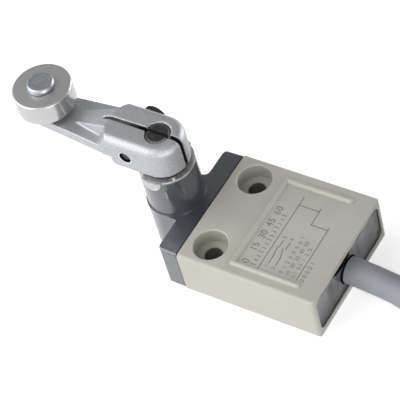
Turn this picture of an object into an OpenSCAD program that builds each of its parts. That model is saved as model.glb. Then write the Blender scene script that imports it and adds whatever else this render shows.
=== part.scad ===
// Roller lever limit switch of the compact enclosed kind, pre-wired, lying on its mounting back.
// X runs across the two mounting holes, Y from the cable end to the lever, Z out of the front face.
// The origin is midway between the mounting holes, on the back face.

/* [Case] */
// Width of the case across the mounting holes
case_w = 39.4; // [38.6:0.1:44]
// Thickness of the case from back to front
case_t = 15.8; // [15:0.1:19]
// From the mounting holes to the joint with the head
case_up = 7.1; // [6.8:0.1:9]
// From the mounting holes to the open cable end
case_down = 36.2; // [35:0.1:44]
// Radius on the long outer edges
case_edge = 1.2; // [0.4:0.1:1.5]
// Wall round the potted cavity
case_wall = 1.7; // [1.2:0.1:2.2]

/* [Mounting holes] */
// Distance between the two mounting holes
mount_pitch = 25; // [24:0.1:27]
// Diameter of a mounting hole
mount_hole = 5.1; // [4.2:0.1:5.4]
// Diameter of the counterbore round it
mount_bore = 10.2; // [9:0.1:10.6]
// Depth of the counterbore
mount_bore_depth = 5; // [3:0.1:5.5]

/* [Label frame] */
// Outer width of the raised frame round the label
frame_w = 33; // [28:0.5:34]
// From the mounting holes to the closed side of the frame
frame_near = 8.1; // [7:0.1:12]
// From the mounting holes to the ends of its rails
frame_far = 30.3; // [24:0.1:33]
// Width of the band that closes the frame
frame_band = 1.9; // [1.6:0.1:2.4]
// Width of its two rails
frame_rail = 1.8; // [1.6:0.1:2.4]
// Height of the frame above the front face
frame_h = 0.8; // [0.5:0.1:0.9]

/* [Head] */
// Width of the band that closes the case
head_w = 38; // [37:0.1:43]
// Length of that band
band_len = 6; // [5.5:0.1:7]
// How far the head stays behind the faces of the case
head_inset = 0.2; // [0:0.1:0.5]
// Thickness of the gasket between head and case
gasket_t = 0.5; // [0.3:0.1:1]
// Diameter of the post under the neck
post_d = 17.2; // [16.6:0.1:19]
// Diameter of the neck at its foot
neck_foot = 16.8; // [16.2:0.1:18]
// Diameter of the neck at its top
neck_top = 16.4; // [16:0.1:17.5]
// Height of the top of the neck above the back face
neck_h = 29.3; // [27:0.1:30]
// Radius of the hollow corners between band and post
head_fillet = 1.8; // [0.8:0.1:2.5]

/* [Shaft and cam] */
// From the face of the gasket to the shaft
shaft_reach = 11.15; // [10.6:0.05:12]
// Diameter of the lever shaft
shaft_d = 7.6; // [7.2:0.1:8.2]
// Lift of the flat on the cam
cam_lift = 1; // [0.6:0.1:1.2]
// Outer diameter of the bearing bush
bush_d = 11; // [10.6:0.1:11.6]
// Thickness of the marking plate on the neck
plate_t = 0.7; // [0.4:0.1:1]
// Depth of the two tabs bent down from it
tab_drop = 2.4; // [1.2:0.1:2.6]

/* [Lever] */
// From the shaft to the roller pin
lever_r = 38; // [32:0.5:50]
// Gap between the marking plate and the hub
lever_gap = 1.4; // [1.2:0.1:3]
// Height of the hub
hub_h = 10.5; // [10:0.1:12]
// Width of the hub across its straight sides
hub_w = 15; // [14.6:0.1:17]
// Radius of the upper edge of the hub
hub_edge = 2.4; // [1:0.1:2.6]
// Length of the straight sides of the hub
hub_len = 11.2; // [11:0.1:14]
// Height of the underside of the arm above that of the hub
arm_rise = 2.9; // [2:0.1:3.5]
// Thickness of the arm
arm_t = 3.4; // [2.5:0.1:4.5]
// Width of the arm at the roller
arm_tip = 10.4; // [9:0.1:12]
// Width of the clamping slit
slit_w = 1.1; // [0.6:0.1:1.6]

/* [Clamp screw] */
// Thread diameter of the clamp screw
clamp_d = 4; // [3.4:0.1:4.2]
// Diameter of its head
clamp_head = 7; // [5.5:0.1:7]
// Height of its head
clamp_head_h = 4; // [3:0.1:4.4]
// From the shaft to the clamp screw
clamp_off = 7.6; // [7.2:0.1:8]

/* [Roller] */
// Diameter of the roller
roller_d = 17.5; // [14:0.5:22]
// Width of the roller
roller_w = 7; // [5:0.5:12]
// Diameter of the roller pin
pin_d = 6; // [4:0.1:6.5]
// Diameter of the head of the pin
pin_head = 7.9; // [7:0.1:9]
// Height of the head of the pin
pin_head_h = 1.8; // [1.2:0.1:2.5]

/* [Snap switch] */
// Width of the built-in switch
sw_w = 19.8; // [19.4:0.1:20.4]
// Thickness of the built-in switch
sw_t = 6.4; // [6:0.1:7]
// Length of the built-in switch from button side to terminals
sw_h = 10; // [9.6:0.1:10.6]
// How far its button stands out at rest
button_out = 1.4; // [1.3:0.1:1.8]

/* [Cable] */
// Outer diameter of the cable
cable_d = 8; // [7.4:0.1:8.2]
// Diameter of an insulated core
core_d = 2.2; // [1.8:0.1:2.4]

/* [Clearances] */
// Radial gap of turning and sliding fits
run_gap = 0.04; // [0.02:0.01:0.08]
// Gap of fixed fits
seat_gap = 0.02; // [0.01:0.01:0.05]
// Side play of parts that turn beside each other
side_gap = 0.1; // [0.05:0.05:0.3]

/* [Hidden] */
$fn = 48;
eps = 0.5;

// Case, gasket and head along Y
joint_y = case_up;
head_y = joint_y + gasket_t;
band_y = head_y + band_len;
shaft_y = head_y + shaft_reach;
mech_z = case_t / 2;
head_top = case_t - head_inset;
foot_ring = 0.45;
foot_flange = 0.35;
head_corner = 1;
index_rib = 0.5;
index_proud = 0.25;
index_len = 3;
index_angles = [205, 240];
gasket_back = 0.1;
gasket_inset = head_inset + gasket_back;
bore_chamfer = 0.3;
bead_swell = 0.04;
cavity_corner = 2;

// Screws that hold the head
head_screw_d = 3;
head_screw_edge = 4.8;
head_screw_x = head_w / 2 - head_screw_edge;
head_screw_head = 5.5;
head_screw_head_h = 3;
head_screw_grip = 4;
head_screw_room = 0.25;
screw_socket = 2.5;

// Shaft stack along Z
cam_half = 3;
cam_room = 0.3;
chamber_z = mech_z - cam_half - cam_room;
journal_d = 6;
journal_len = 2.6;
ring_t = 0.8;
ring_room = 0.3;
ring_d = bush_d - 2 * ring_room;
ring_opening = 70;
groove_depth = 0.6;
groove_d = shaft_d - 2 * groove_depth;
ring_rise = 2.3;
ring_z = mech_z + cam_half + ring_rise;
bush_gap = 0.2;
bush_z = ring_z + ring_t + bush_gap;
seal_len = 3;
seal_z = neck_h - seal_len;
seal_step = 1.1;
seal_d = bush_d + 2 * seal_step;
lip_wall = 1.7;
lip_d = shaft_d + 2 * lip_wall;
lip_clear = 0.5;
plate_z = neck_h + plate_t;
lever_z = plate_z + lever_gap;
lip_top = lever_z - lip_clear;
tab_angle = 60;
tab_t = 0.6;
plate_nubs = [150, 228, 341];
neck_lean = (neck_foot - neck_top) / 2 / (neck_h - head_top);
nub_d = 1;
nub_h = 0.8;
nub_in = 0.1;
shaft_sink = 0.2;
shaft_top = lever_z + hub_h - shaft_sink;
shaft_bevel = 0.7;
driver_slot = 1.2;

// Plunger stack along Y
plunger_d = 5;
rod_d = 3;
plunger_tip = shaft_y - shaft_d / 2 - side_gap;
recess_d = 9.2;
recess_len = 2.2;
flange_room = 0.4;
flange_d = recess_d - 2 * flange_room;
flange_t = 1;
stop_gap = 0.3;
flange_top = head_y + recess_len - stop_gap;
spring_room = 5.6;
chamber_y = joint_y - spring_room;
plunger_seal_t = 0.8;
spring_wire = 0.7;
spring_d = 6.8;
spring_turns = 5;
spring_play = 0.05;
spring_low = chamber_y + plunger_seal_t + spring_wire / 2 + spring_play;
spring_high = flange_top - flange_t - spring_wire / 2 - spring_play;

// Snap switch along Y, in its pocket
bore_wall = 3.1;
pocket_y = -(mount_bore / 2 + bore_wall);
button_room = 0.6;
seat_drop = button_out + button_room;
sw_top = pocket_y - seat_drop;
sw_bottom = sw_top - sw_h;
cover_len = 3.4;
split_y = sw_top - cover_len;
pocket_gap = 0.1;
cavity_y = sw_bottom - pocket_gap;
button_y = sw_top + button_out;
rod_end = button_y + side_gap;
relief_w = 8;
sw_wall = 1.2;
sw_side = 1;
button_d = 2.4;
button_flange = 4;
button_flange_t = 0.8;
button_foot = 2;
button_play = 0.2;
strip_t = 0.5;
strip_w = 3;
tab_len = 3.2;
blade_t = 0.2;
contact_d = 2;
contact_h = 0.5;
contact_in = 3.3;
contact_x = sw_w / 2 - contact_in;
common_in = 2.3;
common_x = -sw_w / 2 + common_in;
open_x = 0.3;
closed_in = 1.9;
closed_x = sw_w / 2 - closed_in;
base_floor = 2;
floor_y = sw_bottom + base_floor;
roof_y = sw_top - sw_wall;
blade_drop = 2.1;
blade_y = split_y - blade_drop;
tab_end = sw_bottom - tab_len;

// Potting, earth screw and leads
potting_back = 0.9;
potting_foot = 0.4;
cable_low = 1.1;
cable_z = mech_z - cable_low;
cable_in = 6;
cable_end = -case_down + cable_in;
core_off = 1.5;
wire_d = 0.9;
bare_len = 1.4;
lead_stub = 0.8;
lead_steps = 10;
lead_sides = 12;
earth_x = (case_w / 2 - case_wall + sw_w / 2) / 2;
earth_d = 3;
earth_head = 5.5;
earth_head_h = 2;
earth_len = 6;
earth_slot = 0.8;
lug_t = 0.6;
lug_d = 6;
lug_crimp = 0.2;
lug_barrel = 2.4;
lug_side = 0.85;
lug_low = 2;
lug_y = cavity_y - lug_t - seat_gap;
earth_at = [earth_x - lug_d / 2 - lug_side, lug_y - lug_barrel, mech_z - lug_low];

// Lever and roller
hub_top = lever_z + hub_h;
arm_z = lever_z + arm_rise;
arm_top = arm_z + arm_t;
roller_y = shaft_y + lever_r;
hub_corner = 4;
hub_end = shaft_y + hub_len + hub_corner;
hub_turn_back = 8;
hub_turn_y = hub_end - hub_turn_back;
hub_turn_r = 11.4;
hub_turn_lean = 30;
hub_face = hub_turn_y + hub_turn_r;
arm_inset = 0.1;
ridge_clear = 1.5;
ramp_gap = 0.3;
ramp_y = hub_end + ramp_gap;
ramp_foot = roller_y - roller_d / 2 - ridge_clear;
ridge_root = 9;
ridge_tip = 4.6;
ridge_taper = atan((ridge_root - ridge_tip) / 2 / (ramp_foot - hub_end));
ridge_draft = 12;
slit_past = 3;
slit_end = hub_end + slit_past;
clamp_y = shaft_y + clamp_off;
clamp_low = 0.6;
clamp_z = lever_z + hub_h / 2 - clamp_low;
clamp_room = 0.2;
clamp_thread = 0.5;
clamp_tap = clamp_d - clamp_thread;
clamp_tip_in = 0.6;
clamp_proud = 2.2;
washer_t = 0.8;
clamp_seat = hub_w / 2 + clamp_proud - clamp_head_h - washer_t;
clamp_socket = 3;
boss_d = 9;
boss_h = 0.9;
roller_washer_t = 0.5;
roller_z = arm_top + boss_h + roller_washer_t + side_gap;
roller_washer_rim = 0.5;
roller_edge = 0.4;
pin_rim = 0.6;
pin_bevel = 0.5;
pin_tail_h = 0.8;
pin_tail = 7.2;

// Cable: it falls from the case to the floor, swings aside and climbs to the foot of the hank
cable_rest = 4.2;
cable_swing = -8.8;
cable_step = 4;
cable_far = -92;
fall_y = [-35, -60];
swing_y = [-48, -84];
climb_y = [-62, -84];
cable_sides = 12;
turn_pitch = 8.3;
hank_layers = 5;
hank_x = 24;
hank_y = -87;
hank_run = 72.3;
fold_r = 24.5;
tie_t = 1;
tie_w = 5;
tie_gap = 0.1;
tie_y = -138;
hank_in = fold_r - cable_d / 2;
hank_out = fold_r + turn_pitch + cable_d / 2;
hank_h = (hank_layers - 1) * turn_pitch + cable_d;
tail_x = 8.5;
tail_y = -127;
tail_from = -100;
core_len = 20;
strand_len = 6;
strand_d = 1.2;
core_pitch = 1.3;
hank_foot = tie_t + cable_d / 2;

// Colours as the photograph shows them
case_paint = "#b9b6a7";
head_paint = "#4a4e57";
lever_metal = "#b4b7ba";
steel = "#c2c2c0";
black_steel = "#3a3a3c";
rubber = "#262628";
bronze = "#a8834a";
copper = "#b8703a";
sheath_grey = "#8e9098";
resin_grey = "#5a5c62";
switch_black = "#2c2c2e";

// Every sub-part of the switch

// Helper shapes

// Rectangle with round corners, its low corner at the origin
module round_rect(w, h, r) {
    translate([r, 0]) square([w - 2 * r, h]);
    translate([0, r]) square([w, h - 2 * r]);
    for (x = [r, w - r], y = [r, h - r]) translate([x, y]) circle(r);
}

// Cylinder along +Y from a point
module bar_y(at, d, len) {
    translate(at) rotate([-90, 0, 0]) cylinder(d = d, h = len);
}

// Cylinder along +X from a point
module bar_x(at, d, len) {
    translate(at) rotate([0, 90, 0]) cylinder(d = d, h = len);
}

// Bar along Y with round long edges, given by its half width, its ends along Y and its two heights
module round_bar(half, y, z, r) {
    translate([-half, y[1], z[0]]) rotate([90, 0, 0]) linear_extrude(y[1] - y[0])
        round_rect(2 * half, z[1] - z[0], r);
}

// Block given by its low corner and its high corner
module block(low, high) {
    translate(low) cube(high - low);
}

// Direction of a route at each of its points, and the ring of points round it
function along(path, i) =
    let (a = path[max(i - 1, 0)], b = path[min(i + 1, len(path) - 1)]) (b - a) / norm(b - a);
function ring_at(path, i, d, sides, up) =
    let (t = along(path, i), u = cross(up, t) / norm(cross(up, t)), v = cross(t, u))
    [for (k = [0:sides - 1]) path[i] + d / 2 * (u * cos(360 * k / sides) + v * sin(360 * k / sides))];

// Tube swept along a route, as one closed surface
module swept_tube(path, d, sides, up) {
    n = len(path);
    points = [for (i = [0:n - 1]) each ring_at(path, i, d, sides, up)];
    walls = [
        for (i = [0:n - 2], k = [0:sides - 1])
        let (a = i * sides + k, b = i * sides + (k + 1) % sides) [a, a + sides, b + sides, b]
    ];
    ends = [[for (k = [0:sides - 1]) k], [for (k = [sides - 1:-1:0]) (n - 1) * sides + k]];
    polyhedron(points, concat(walls, ends));
}

// Share of a smooth change that is made between two places of a span
function share(at, span) =
    let (t = min(max((at - span[0]) / (span[1] - span[0]), 0), 1)) t * t * (3 - 2 * t);

// Case and head

// Die-cast case, open at the cable end, with the label frame on its front
module case() {
    color(case_paint) difference() {
        union() {
            case_body();
            label_frame();
        }
        mounting_holes();
        case_hollows();
        for (s = [-1, 1]) bar_y([s * head_screw_x, joint_y - head_screw_grip, mech_z],
            head_screw_d + 2 * seat_gap, head_screw_grip + eps);
        bar_y([earth_x, cavity_y - eps, mech_z], earth_d + 2 * seat_gap, earth_len + eps);
    }
}

// Outer block: long edges rounded, corners of the cable end rounded, flat at the head
module case_body() {
    long = case_down + case_up;
    intersection() {
        translate([-case_w / 2, joint_y, 0]) rotate([90, 0, 0]) linear_extrude(long)
            round_rect(case_w, case_t, case_edge);
        translate([-case_w / 2, -case_down, -eps]) linear_extrude(case_t + 2 * eps)
            round_rect(case_w, long + 2 * case_edge, case_edge);
    }
}

// Raised half-round frame: a bead at the head side and two rails with round ends
module label_frame() {
    x = (frame_w - frame_rail) / 2;
    near = -frame_near - frame_band / 2;
    far = -frame_far + frame_rail / 2;
    band_z = case_t + frame_h - frame_band / 2;
    rail_z = case_t + frame_h - frame_rail / 2;
    bar_x([-x, near, band_z], frame_band, 2 * x);
    for (s = [-1, 1]) {
        bar_y([s * x, far, rail_z], frame_rail, near - far);
        translate([s * x, far, rail_z]) sphere(d = frame_rail + bead_swell);
        translate([s * x, near, band_z]) sphere(d = frame_band + bead_swell);
    }
}

module mounting_holes() {
    for (s = [-1, 1]) translate([s * mount_pitch / 2, 0, 0]) {
        translate([0, 0, -eps]) cylinder(d = mount_hole, h = case_t + 2 * eps);
        translate([0, 0, case_t - mount_bore_depth])
            cylinder(d = mount_bore, h = mount_bore_depth + eps);
        translate([0, 0, case_t - bore_chamfer])
            cylinder(d1 = mount_bore, d2 = mount_bore + 4 * bore_chamfer, h = 2 * bore_chamfer);
    }
}

// Potted cavity, pocket of the snap switch, plunger passage and spring chamber
module case_hollows() {
    inner = case_w / 2 - case_wall;
    round_bar(inner, [-case_down - eps, cavity_y], [case_wall, case_t - case_wall], cavity_corner);
    pocket_x = sw_w / 2 + pocket_gap;
    pocket_z = sw_t / 2 + pocket_gap;
    block([-pocket_x, cavity_y - eps, mech_z - pocket_z], [pocket_x, sw_top, mech_z + pocket_z]);
    block([-relief_w / 2, sw_top - eps, mech_z - pocket_z],
        [relief_w / 2, pocket_y, mech_z + pocket_z]);
    bar_y([0, pocket_y - eps, mech_z], rod_d + 2 * run_gap, chamber_y - pocket_y + 2 * eps);
    bar_y([0, chamber_y, mech_z], recess_d, joint_y - chamber_y + eps);
}

// Die-cast head: band across the end of the case, post and neck that carry the shaft
module head() {
    color(head_paint) difference() {
        union() {
            head_band();
            head_post();
            head_neck();
        }
        shaft_hollows();
        bar_y([0, head_y - eps, mech_z], recess_d, recess_len + eps);
        bar_y([0, head_y, mech_z], plunger_d + 2 * run_gap, shaft_reach);
        for (s = [-1, 1]) translate([s * head_screw_x, 0, mech_z]) {
            bar_y([0, head_y - eps, 0], head_screw_d + 2 * head_screw_room, band_len + 2 * eps);
            bar_y([0, band_y - head_screw_head_h, 0], head_screw_head + 2 * head_screw_room,
                head_screw_head_h + eps);
        }
    }
}

module head_band() {
    intersection() {
        translate([-head_w / 2, band_y, head_inset]) rotate([90, 0, 0]) linear_extrude(band_len)
            round_rect(head_w, head_top - head_inset, head_corner);
        translate([-head_w / 2, head_y - 2 * head_corner, 0]) linear_extrude(case_t)
            round_rect(head_w, band_len + 2 * head_corner, head_corner);
    }
}

// Round post with straight cheeks that run into the band in hollow corners
module head_post() {
    r = post_d / 2;
    translate([0, 0, head_inset]) linear_extrude(head_top - head_inset) {
        translate([0, shaft_y]) circle(r);
        difference() {
            translate([-r - head_fillet, band_y - eps])
                square([post_d + 2 * head_fillet, shaft_reach - band_len + eps]);
            for (s = [-1, 1]) {
                translate([s * (r + head_fillet), band_y + head_fillet]) circle(head_fillet);
                translate([s * (r + head_fillet) - head_fillet, band_y + head_fillet])
                    square([2 * head_fillet, shaft_reach]);
            }
        }
    }
}

// Neck: a slight taper on a foot ring, with two index ribs under the marking plate
module head_neck() {
    translate([0, shaft_y, 0]) {
        translate([0, 0, head_top - eps])
            cylinder(d = neck_foot + 2 * foot_flange, h = foot_ring + eps);
        translate([0, 0, head_top]) cylinder(d1 = neck_foot, d2 = neck_top, h = neck_h - head_top);
        for (a = index_angles) rotate([0, 0, a])
            translate([neck_top / 2 - index_rib, -index_rib / 2, seal_z - index_len])
            cube([index_rib + index_proud, index_rib, index_len]);
    }
}

// Stepped bore of the head: lower journal, cam chamber and bush, seal
module shaft_hollows() {
    translate([0, shaft_y, 0]) {
        translate([0, 0, chamber_z - journal_len - side_gap])
            cylinder(d = journal_d + 2 * run_gap, h = journal_len + side_gap + eps);
        translate([0, 0, chamber_z]) cylinder(d = bush_d, h = neck_h);
        translate([0, 0, seal_z]) cylinder(d = seal_d, h = seal_len + eps);
    }
}

// Flat gasket between head and case
module head_gasket() {
    half = head_w / 2 - gasket_inset;
    color(rubber) difference() {
        block([-half, joint_y, gasket_inset], [half, head_y, case_t - gasket_inset]);
        bar_y([0, joint_y - eps, mech_z], recess_d, gasket_t + 2 * eps);
        for (s = [-1, 1]) bar_y([s * head_screw_x, joint_y - eps, mech_z],
            head_screw_d + 2 * head_screw_room, gasket_t + 2 * eps);
    }
}

// Two socket screws that hold the head
module head_screws() {
    seat = band_y - head_screw_head_h;
    tip = joint_y - head_screw_grip + side_gap;
    color(black_steel) for (s = [-1, 1]) translate([s * head_screw_x, 0, mech_z]) difference() {
        union() {
            bar_y([0, tip, 0], head_screw_d, seat - tip + eps);
            bar_y([0, seat, 0], head_screw_head, head_screw_head_h);
        }
        translate([0, seat + head_screw_head_h / 2, 0]) rotate([-90, 0, 0])
            cylinder(d = screw_socket / cos(30), h = head_screw_head_h, $fn = 6);
    }
}

// Metal marking plate on the neck, held by two bent tabs, with three raised range marks
module marking_plate() {
    r = neck_top / 2;
    tab_in = r + neck_lean * tab_drop + seat_gap;
    color(steel) translate([0, shaft_y, neck_h]) {
        difference() {
            cylinder(r = r, h = plate_t);
            translate([0, 0, -eps]) cylinder(d = seal_d, h = plate_t + 2 * eps);
        }
        for (a = [0, 180]) rotate([0, 0, a]) intersection() {
            rotate([0, 0, -tab_angle / 2]) rotate_extrude(angle = tab_angle) {
                translate([tab_in, -tab_drop]) square([tab_t, tab_drop + plate_t]);
                translate([r - tab_t, 0]) square([tab_in - r + 2 * tab_t, plate_t]);
            }
            bar_x([0, 0, plate_t], 2 * (tab_drop + plate_t), 2 * r);
        }
        for (a = plate_nubs) rotate([0, 0, a]) translate([r - nub_d / 2 - nub_in, 0, plate_t / 2])
            cylinder(d = nub_d, h = nub_h + plate_t / 2);
    }
}

// Shaft, its bearing and its seal

// Steel shaft: journal, cam with a flat, ring groove, clamped end with a driver slot
module shaft() {
    color(black_steel) translate([0, shaft_y, 0]) difference() {
        union() {
            translate([0, 0, chamber_z - journal_len]) cylinder(d = journal_d, h = journal_len + eps);
            translate([0, 0, chamber_z + side_gap])
                cylinder(d = shaft_d, h = shaft_top - shaft_bevel - chamber_z - side_gap);
            translate([0, 0, shaft_top - shaft_bevel])
                cylinder(d1 = shaft_d, d2 = shaft_d - 2 * shaft_bevel, h = shaft_bevel);
        }
        block([-shaft_d, -shaft_d, chamber_z], [shaft_d, -shaft_d / 2 + cam_lift, mech_z + cam_half]);
        translate([0, 0, ring_z - seat_gap]) difference() {
            cylinder(d = shaft_d + 2 * eps, h = ring_t + 2 * seat_gap);
            translate([0, 0, -eps]) cylinder(d = groove_d, h = ring_t + 2 * eps);
        }
        block([-driver_slot / 2, -shaft_d, shaft_top - driver_slot],
            [driver_slot / 2, shaft_d, shaft_top + eps]);
    }
}

// Sintered bearing bush pressed into the neck
module shaft_bush() {
    color(bronze) translate([0, shaft_y, bush_z]) difference() {
        cylinder(d = bush_d - 2 * seat_gap, h = seal_z - bush_z);
        translate([0, 0, -eps]) cylinder(d = shaft_d + 2 * run_gap, h = neck_h);
    }
}

// Rubber shaft seal in the top of the neck, with a lip that stands above the marking plate
module shaft_seal() {
    color(rubber) translate([0, shaft_y, 0]) difference() {
        union() {
            translate([0, 0, seal_z + seat_gap])
                cylinder(d = seal_d - 2 * seat_gap, h = plate_z - seal_z - seat_gap);
            translate([0, 0, plate_z - seat_gap])
                cylinder(d1 = seal_d - 2 * seat_gap, d2 = lip_d, h = lip_top - plate_z + seat_gap);
        }
        cylinder(d = shaft_d + 2 * run_gap, h = lip_top + eps);
    }
}

// Open spring ring in the groove of the shaft, under the bush
module retaining_ring() {
    color(black_steel) translate([0, shaft_y, ring_z]) rotate([0, 0, 90 + ring_opening / 2])
        rotate_extrude(angle = 360 - ring_opening) translate([groove_d / 2 + seat_gap, 0])
        square([(ring_d - groove_d) / 2 - seat_gap, ring_t]);
}

// Plunger and its spring

// Plunger: tip at the cam, stop flange, thin rod to the button
module plunger() {
    color(steel) translate([0, 0, mech_z]) {
        bar_y([0, flange_top - eps, 0], plunger_d, plunger_tip - flange_top + eps);
        bar_y([0, flange_top - flange_t, 0], flange_d, flange_t);
        bar_y([0, rod_end, 0], rod_d, flange_top - flange_t - rod_end + eps);
    }
}

// Coil spring that returns the plunger and, by the flat, the lever
module plunger_spring() {
    steps = 16 * spring_turns;
    coil = [
        for (i = [0:steps])
        let (a = 360 * spring_turns * i / steps, y = spring_low + (spring_high - spring_low) * i / steps)
        [spring_d / 2 * cos(a), y, mech_z + spring_d / 2 * sin(a)]
    ];
    color(steel) swept_tube(coil, spring_wire, 8, [0, 1, 0]);
}

// Rubber seal round the rod, under the spring
module plunger_seal() {
    color(rubber) difference() {
        bar_y([0, chamber_y, mech_z], recess_d - 2 * seat_gap, plunger_seal_t);
        bar_y([0, chamber_y - eps, mech_z], rod_d + 2 * run_gap, plunger_seal_t + 2 * eps);
    }
}

// Snap switch

// Moulded base with the contact space and slots for the terminals
module switch_base() {
    color(switch_black) difference() {
        block([-sw_w / 2, sw_bottom, mech_z - sw_t / 2], [sw_w / 2, split_y, mech_z + sw_t / 2]);
        contact_space(floor_y, split_y + eps);
        terminal_tab(common_x, floor_y + eps, seat_gap);
        terminal_tab(open_x, floor_y + eps, seat_gap);
        terminal_tab(closed_x, floor_y + eps, seat_gap);
    }
}

// Moulded cover with the hole for the button
module switch_cover() {
    color(switch_black) difference() {
        block([-sw_w / 2, split_y, mech_z - sw_t / 2], [sw_w / 2, sw_top, mech_z + sw_t / 2]);
        contact_space(split_y - eps, roof_y);
        bar_y([0, roof_y - eps, mech_z], button_d + 2 * run_gap, sw_wall + 2 * eps);
    }
}

module contact_space(low, high) {
    x = sw_w / 2 - sw_wall;
    z = sw_t / 2 - sw_side;
    block([-x, low, mech_z - z], [x, high, mech_z + z]);
}

// Flat tab of a terminal from its solder end up to a height inside the switch
module terminal_tab(x, top, grow = 0) {
    half = strip_t / 2 + grow;
    block([x - half, tab_end - grow, mech_z - strip_w / 2 - grow],
        [x + half, top, mech_z + strip_w / 2 + grow]);
}

// Strip of a terminal that runs across the contact space, with its contact
module terminal_strip(x_from, x_to, low) {
    block([x_from, low, mech_z - strip_w / 2], [x_to, low + strip_t, mech_z + strip_w / 2]);
}

module common_terminal() {
    color(copper) terminal_tab(common_x, blade_y - seat_gap);
}

module open_terminal() {
    strip_y = floor_y + seat_gap;
    color(copper) {
        terminal_tab(open_x, strip_y + strip_t);
        terminal_strip(open_x, contact_x + contact_d / 2, strip_y);
        bar_y([contact_x, strip_y, mech_z], contact_d, strip_t + contact_h);
    }
}

module closed_terminal() {
    strip_y = blade_y + blade_t + 2 * contact_h + seat_gap;
    color(copper) {
        terminal_tab(closed_x, strip_y + strip_t);
        terminal_strip(contact_x - contact_d / 2, closed_x, strip_y);
        bar_y([contact_x, strip_y - contact_h, mech_z], contact_d, contact_h + strip_t);
    }
}

// Spring blade that carries the moving contact
module contact_blade() {
    color(copper) {
        block([common_x - strip_t, blade_y, mech_z - strip_w / 2],
            [contact_x + contact_d / 2, blade_y + blade_t, mech_z + strip_w / 2]);
        bar_y([contact_x, blade_y - contact_h, mech_z], contact_d, blade_t + 2 * contact_h);
    }
}

// Push button between the plunger and the blade
module switch_button() {
    top = roof_y - button_play;
    color("#b03a34") translate([0, 0, mech_z]) {
        bar_y([0, top - eps, 0], button_d, button_y - top + eps);
        bar_y([0, top - button_flange_t, 0], button_flange, button_flange_t);
        bar_y([0, blade_y + blade_t + side_gap, 0], button_foot, top - blade_y - blade_t - side_gap);
    }
}

// Potting, earth screw and leads

// Insulated lead: straight out of the cable, over in a soft bend, and into its end with bared strands
module lead(from, to, grow = 0) {
    leave = from + [0, lead_stub, 0];
    arrive = to - [0, bare_len, 0];
    bend = arrive - [0, lead_stub, 0] - leave;
    path = concat(
        [from - [0, grow, 0]],
        [
            for (i = [0:lead_steps]) let (t = i / lead_steps, s = share(t, [0, 1]))
            leave + [bend.x * s, bend.y * t, bend.z * s]
        ],
        [arrive + [0, grow, 0]]
    );
    swept_tube(path, core_d + 2 * grow, lead_sides, [0, 0, 1]);
    bar_y(arrive - [0, lead_stub, 0], wire_d + 2 * grow, bare_len + lead_stub);
}

// Where a core leaves the cable, and where it meets its terminal
function core_at(i) =
    [core_off * [-1, -1, 1, 1][i], cable_end + seat_gap, cable_z + core_off * [1, -1, 1, -1][i]];
function tab_at(x) = [x, tab_end - seat_gap, mech_z];

module lead_common() {
    color("#242426") lead(core_at(0), tab_at(common_x));
}

module lead_open() {
    color("#e4e2da") lead(core_at(1), tab_at(open_x));
}

module lead_closed() {
    color("#a83a30") lead(core_at(2), tab_at(closed_x));
}

// Earth lead with its crimped ring lug, which lies under the earth screw
module lead_earth() {
    color("#4c7a3e") {
        lead(core_at(3), earth_at);
        difference() {
            earth_lug();
            bar_y([earth_x, lug_y - eps, mech_z], earth_d + 2 * seat_gap, lug_t + 2 * eps);
        }
    }
}

// Ring, neck and crimp barrel of the earth lug
module earth_lug(grow = 0) {
    barrel = core_d + 2 * lug_crimp;
    bar_y([earth_x, lug_y - grow, mech_z], lug_d + 2 * grow, lug_t + 2 * grow);
    bar_y([earth_at.x, earth_at.y - grow, earth_at.z], barrel + 2 * grow,
        lug_y + lug_t - earth_at.y + 2 * grow);
    block([earth_at.x - grow, lug_y - grow, earth_at.z - grow],
        [earth_x, lug_y + lug_t + grow, mech_z + grow]);
}

module earth_screw() {
    under = lug_y - seat_gap;
    color(steel) translate([earth_x, under, mech_z]) difference() {
        union() {
            bar_y([0, -earth_head_h, 0], earth_head, earth_head_h);
            bar_y([0, -eps, 0], earth_d, earth_len + eps);
        }
        block([-earth_head, -earth_head_h - eps, -earth_slot / 2],
            [earth_head, -earth_head_h / 2, earth_slot / 2]);
    }
}

// Cast resin that fills the cable end and holds the switch, the leads and the cable
module potting() {
    wall = case_wall + seat_gap;
    foot = -case_down + potting_back;
    grow = 2 * seat_gap;
    color(resin_grey) difference() {
        union() {
            round_bar(case_w / 2 - wall, [foot, cavity_y - seat_gap], [wall, case_t - wall],
                cavity_corner - seat_gap);
            translate([0, foot, cable_z]) rotate([90, 0, 0])
                cylinder(d1 = cable_d + 2 * potting_foot, d2 = cable_d + potting_foot / 2,
                    h = potting_foot);
        }
        bar_y([0, foot - 2 * potting_foot, cable_z], cable_d + 2 * seat_gap,
            cable_end - foot + 2 * potting_foot + seat_gap / 2);
        for (x = [common_x, open_x, closed_x]) terminal_tab(x, cavity_y + eps, grow);
        lead(core_at(0), tab_at(common_x), grow);
        lead(core_at(1), tab_at(open_x), grow);
        lead(core_at(2), tab_at(closed_x), grow);
        lead(core_at(3), earth_at, grow);
        earth_lug(grow);
        bar_y([earth_x, lug_y - seat_gap - earth_head_h - grow, mech_z], earth_head + 2 * grow,
            earth_head_h + grow + eps);
    }
}

// Lever

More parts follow.
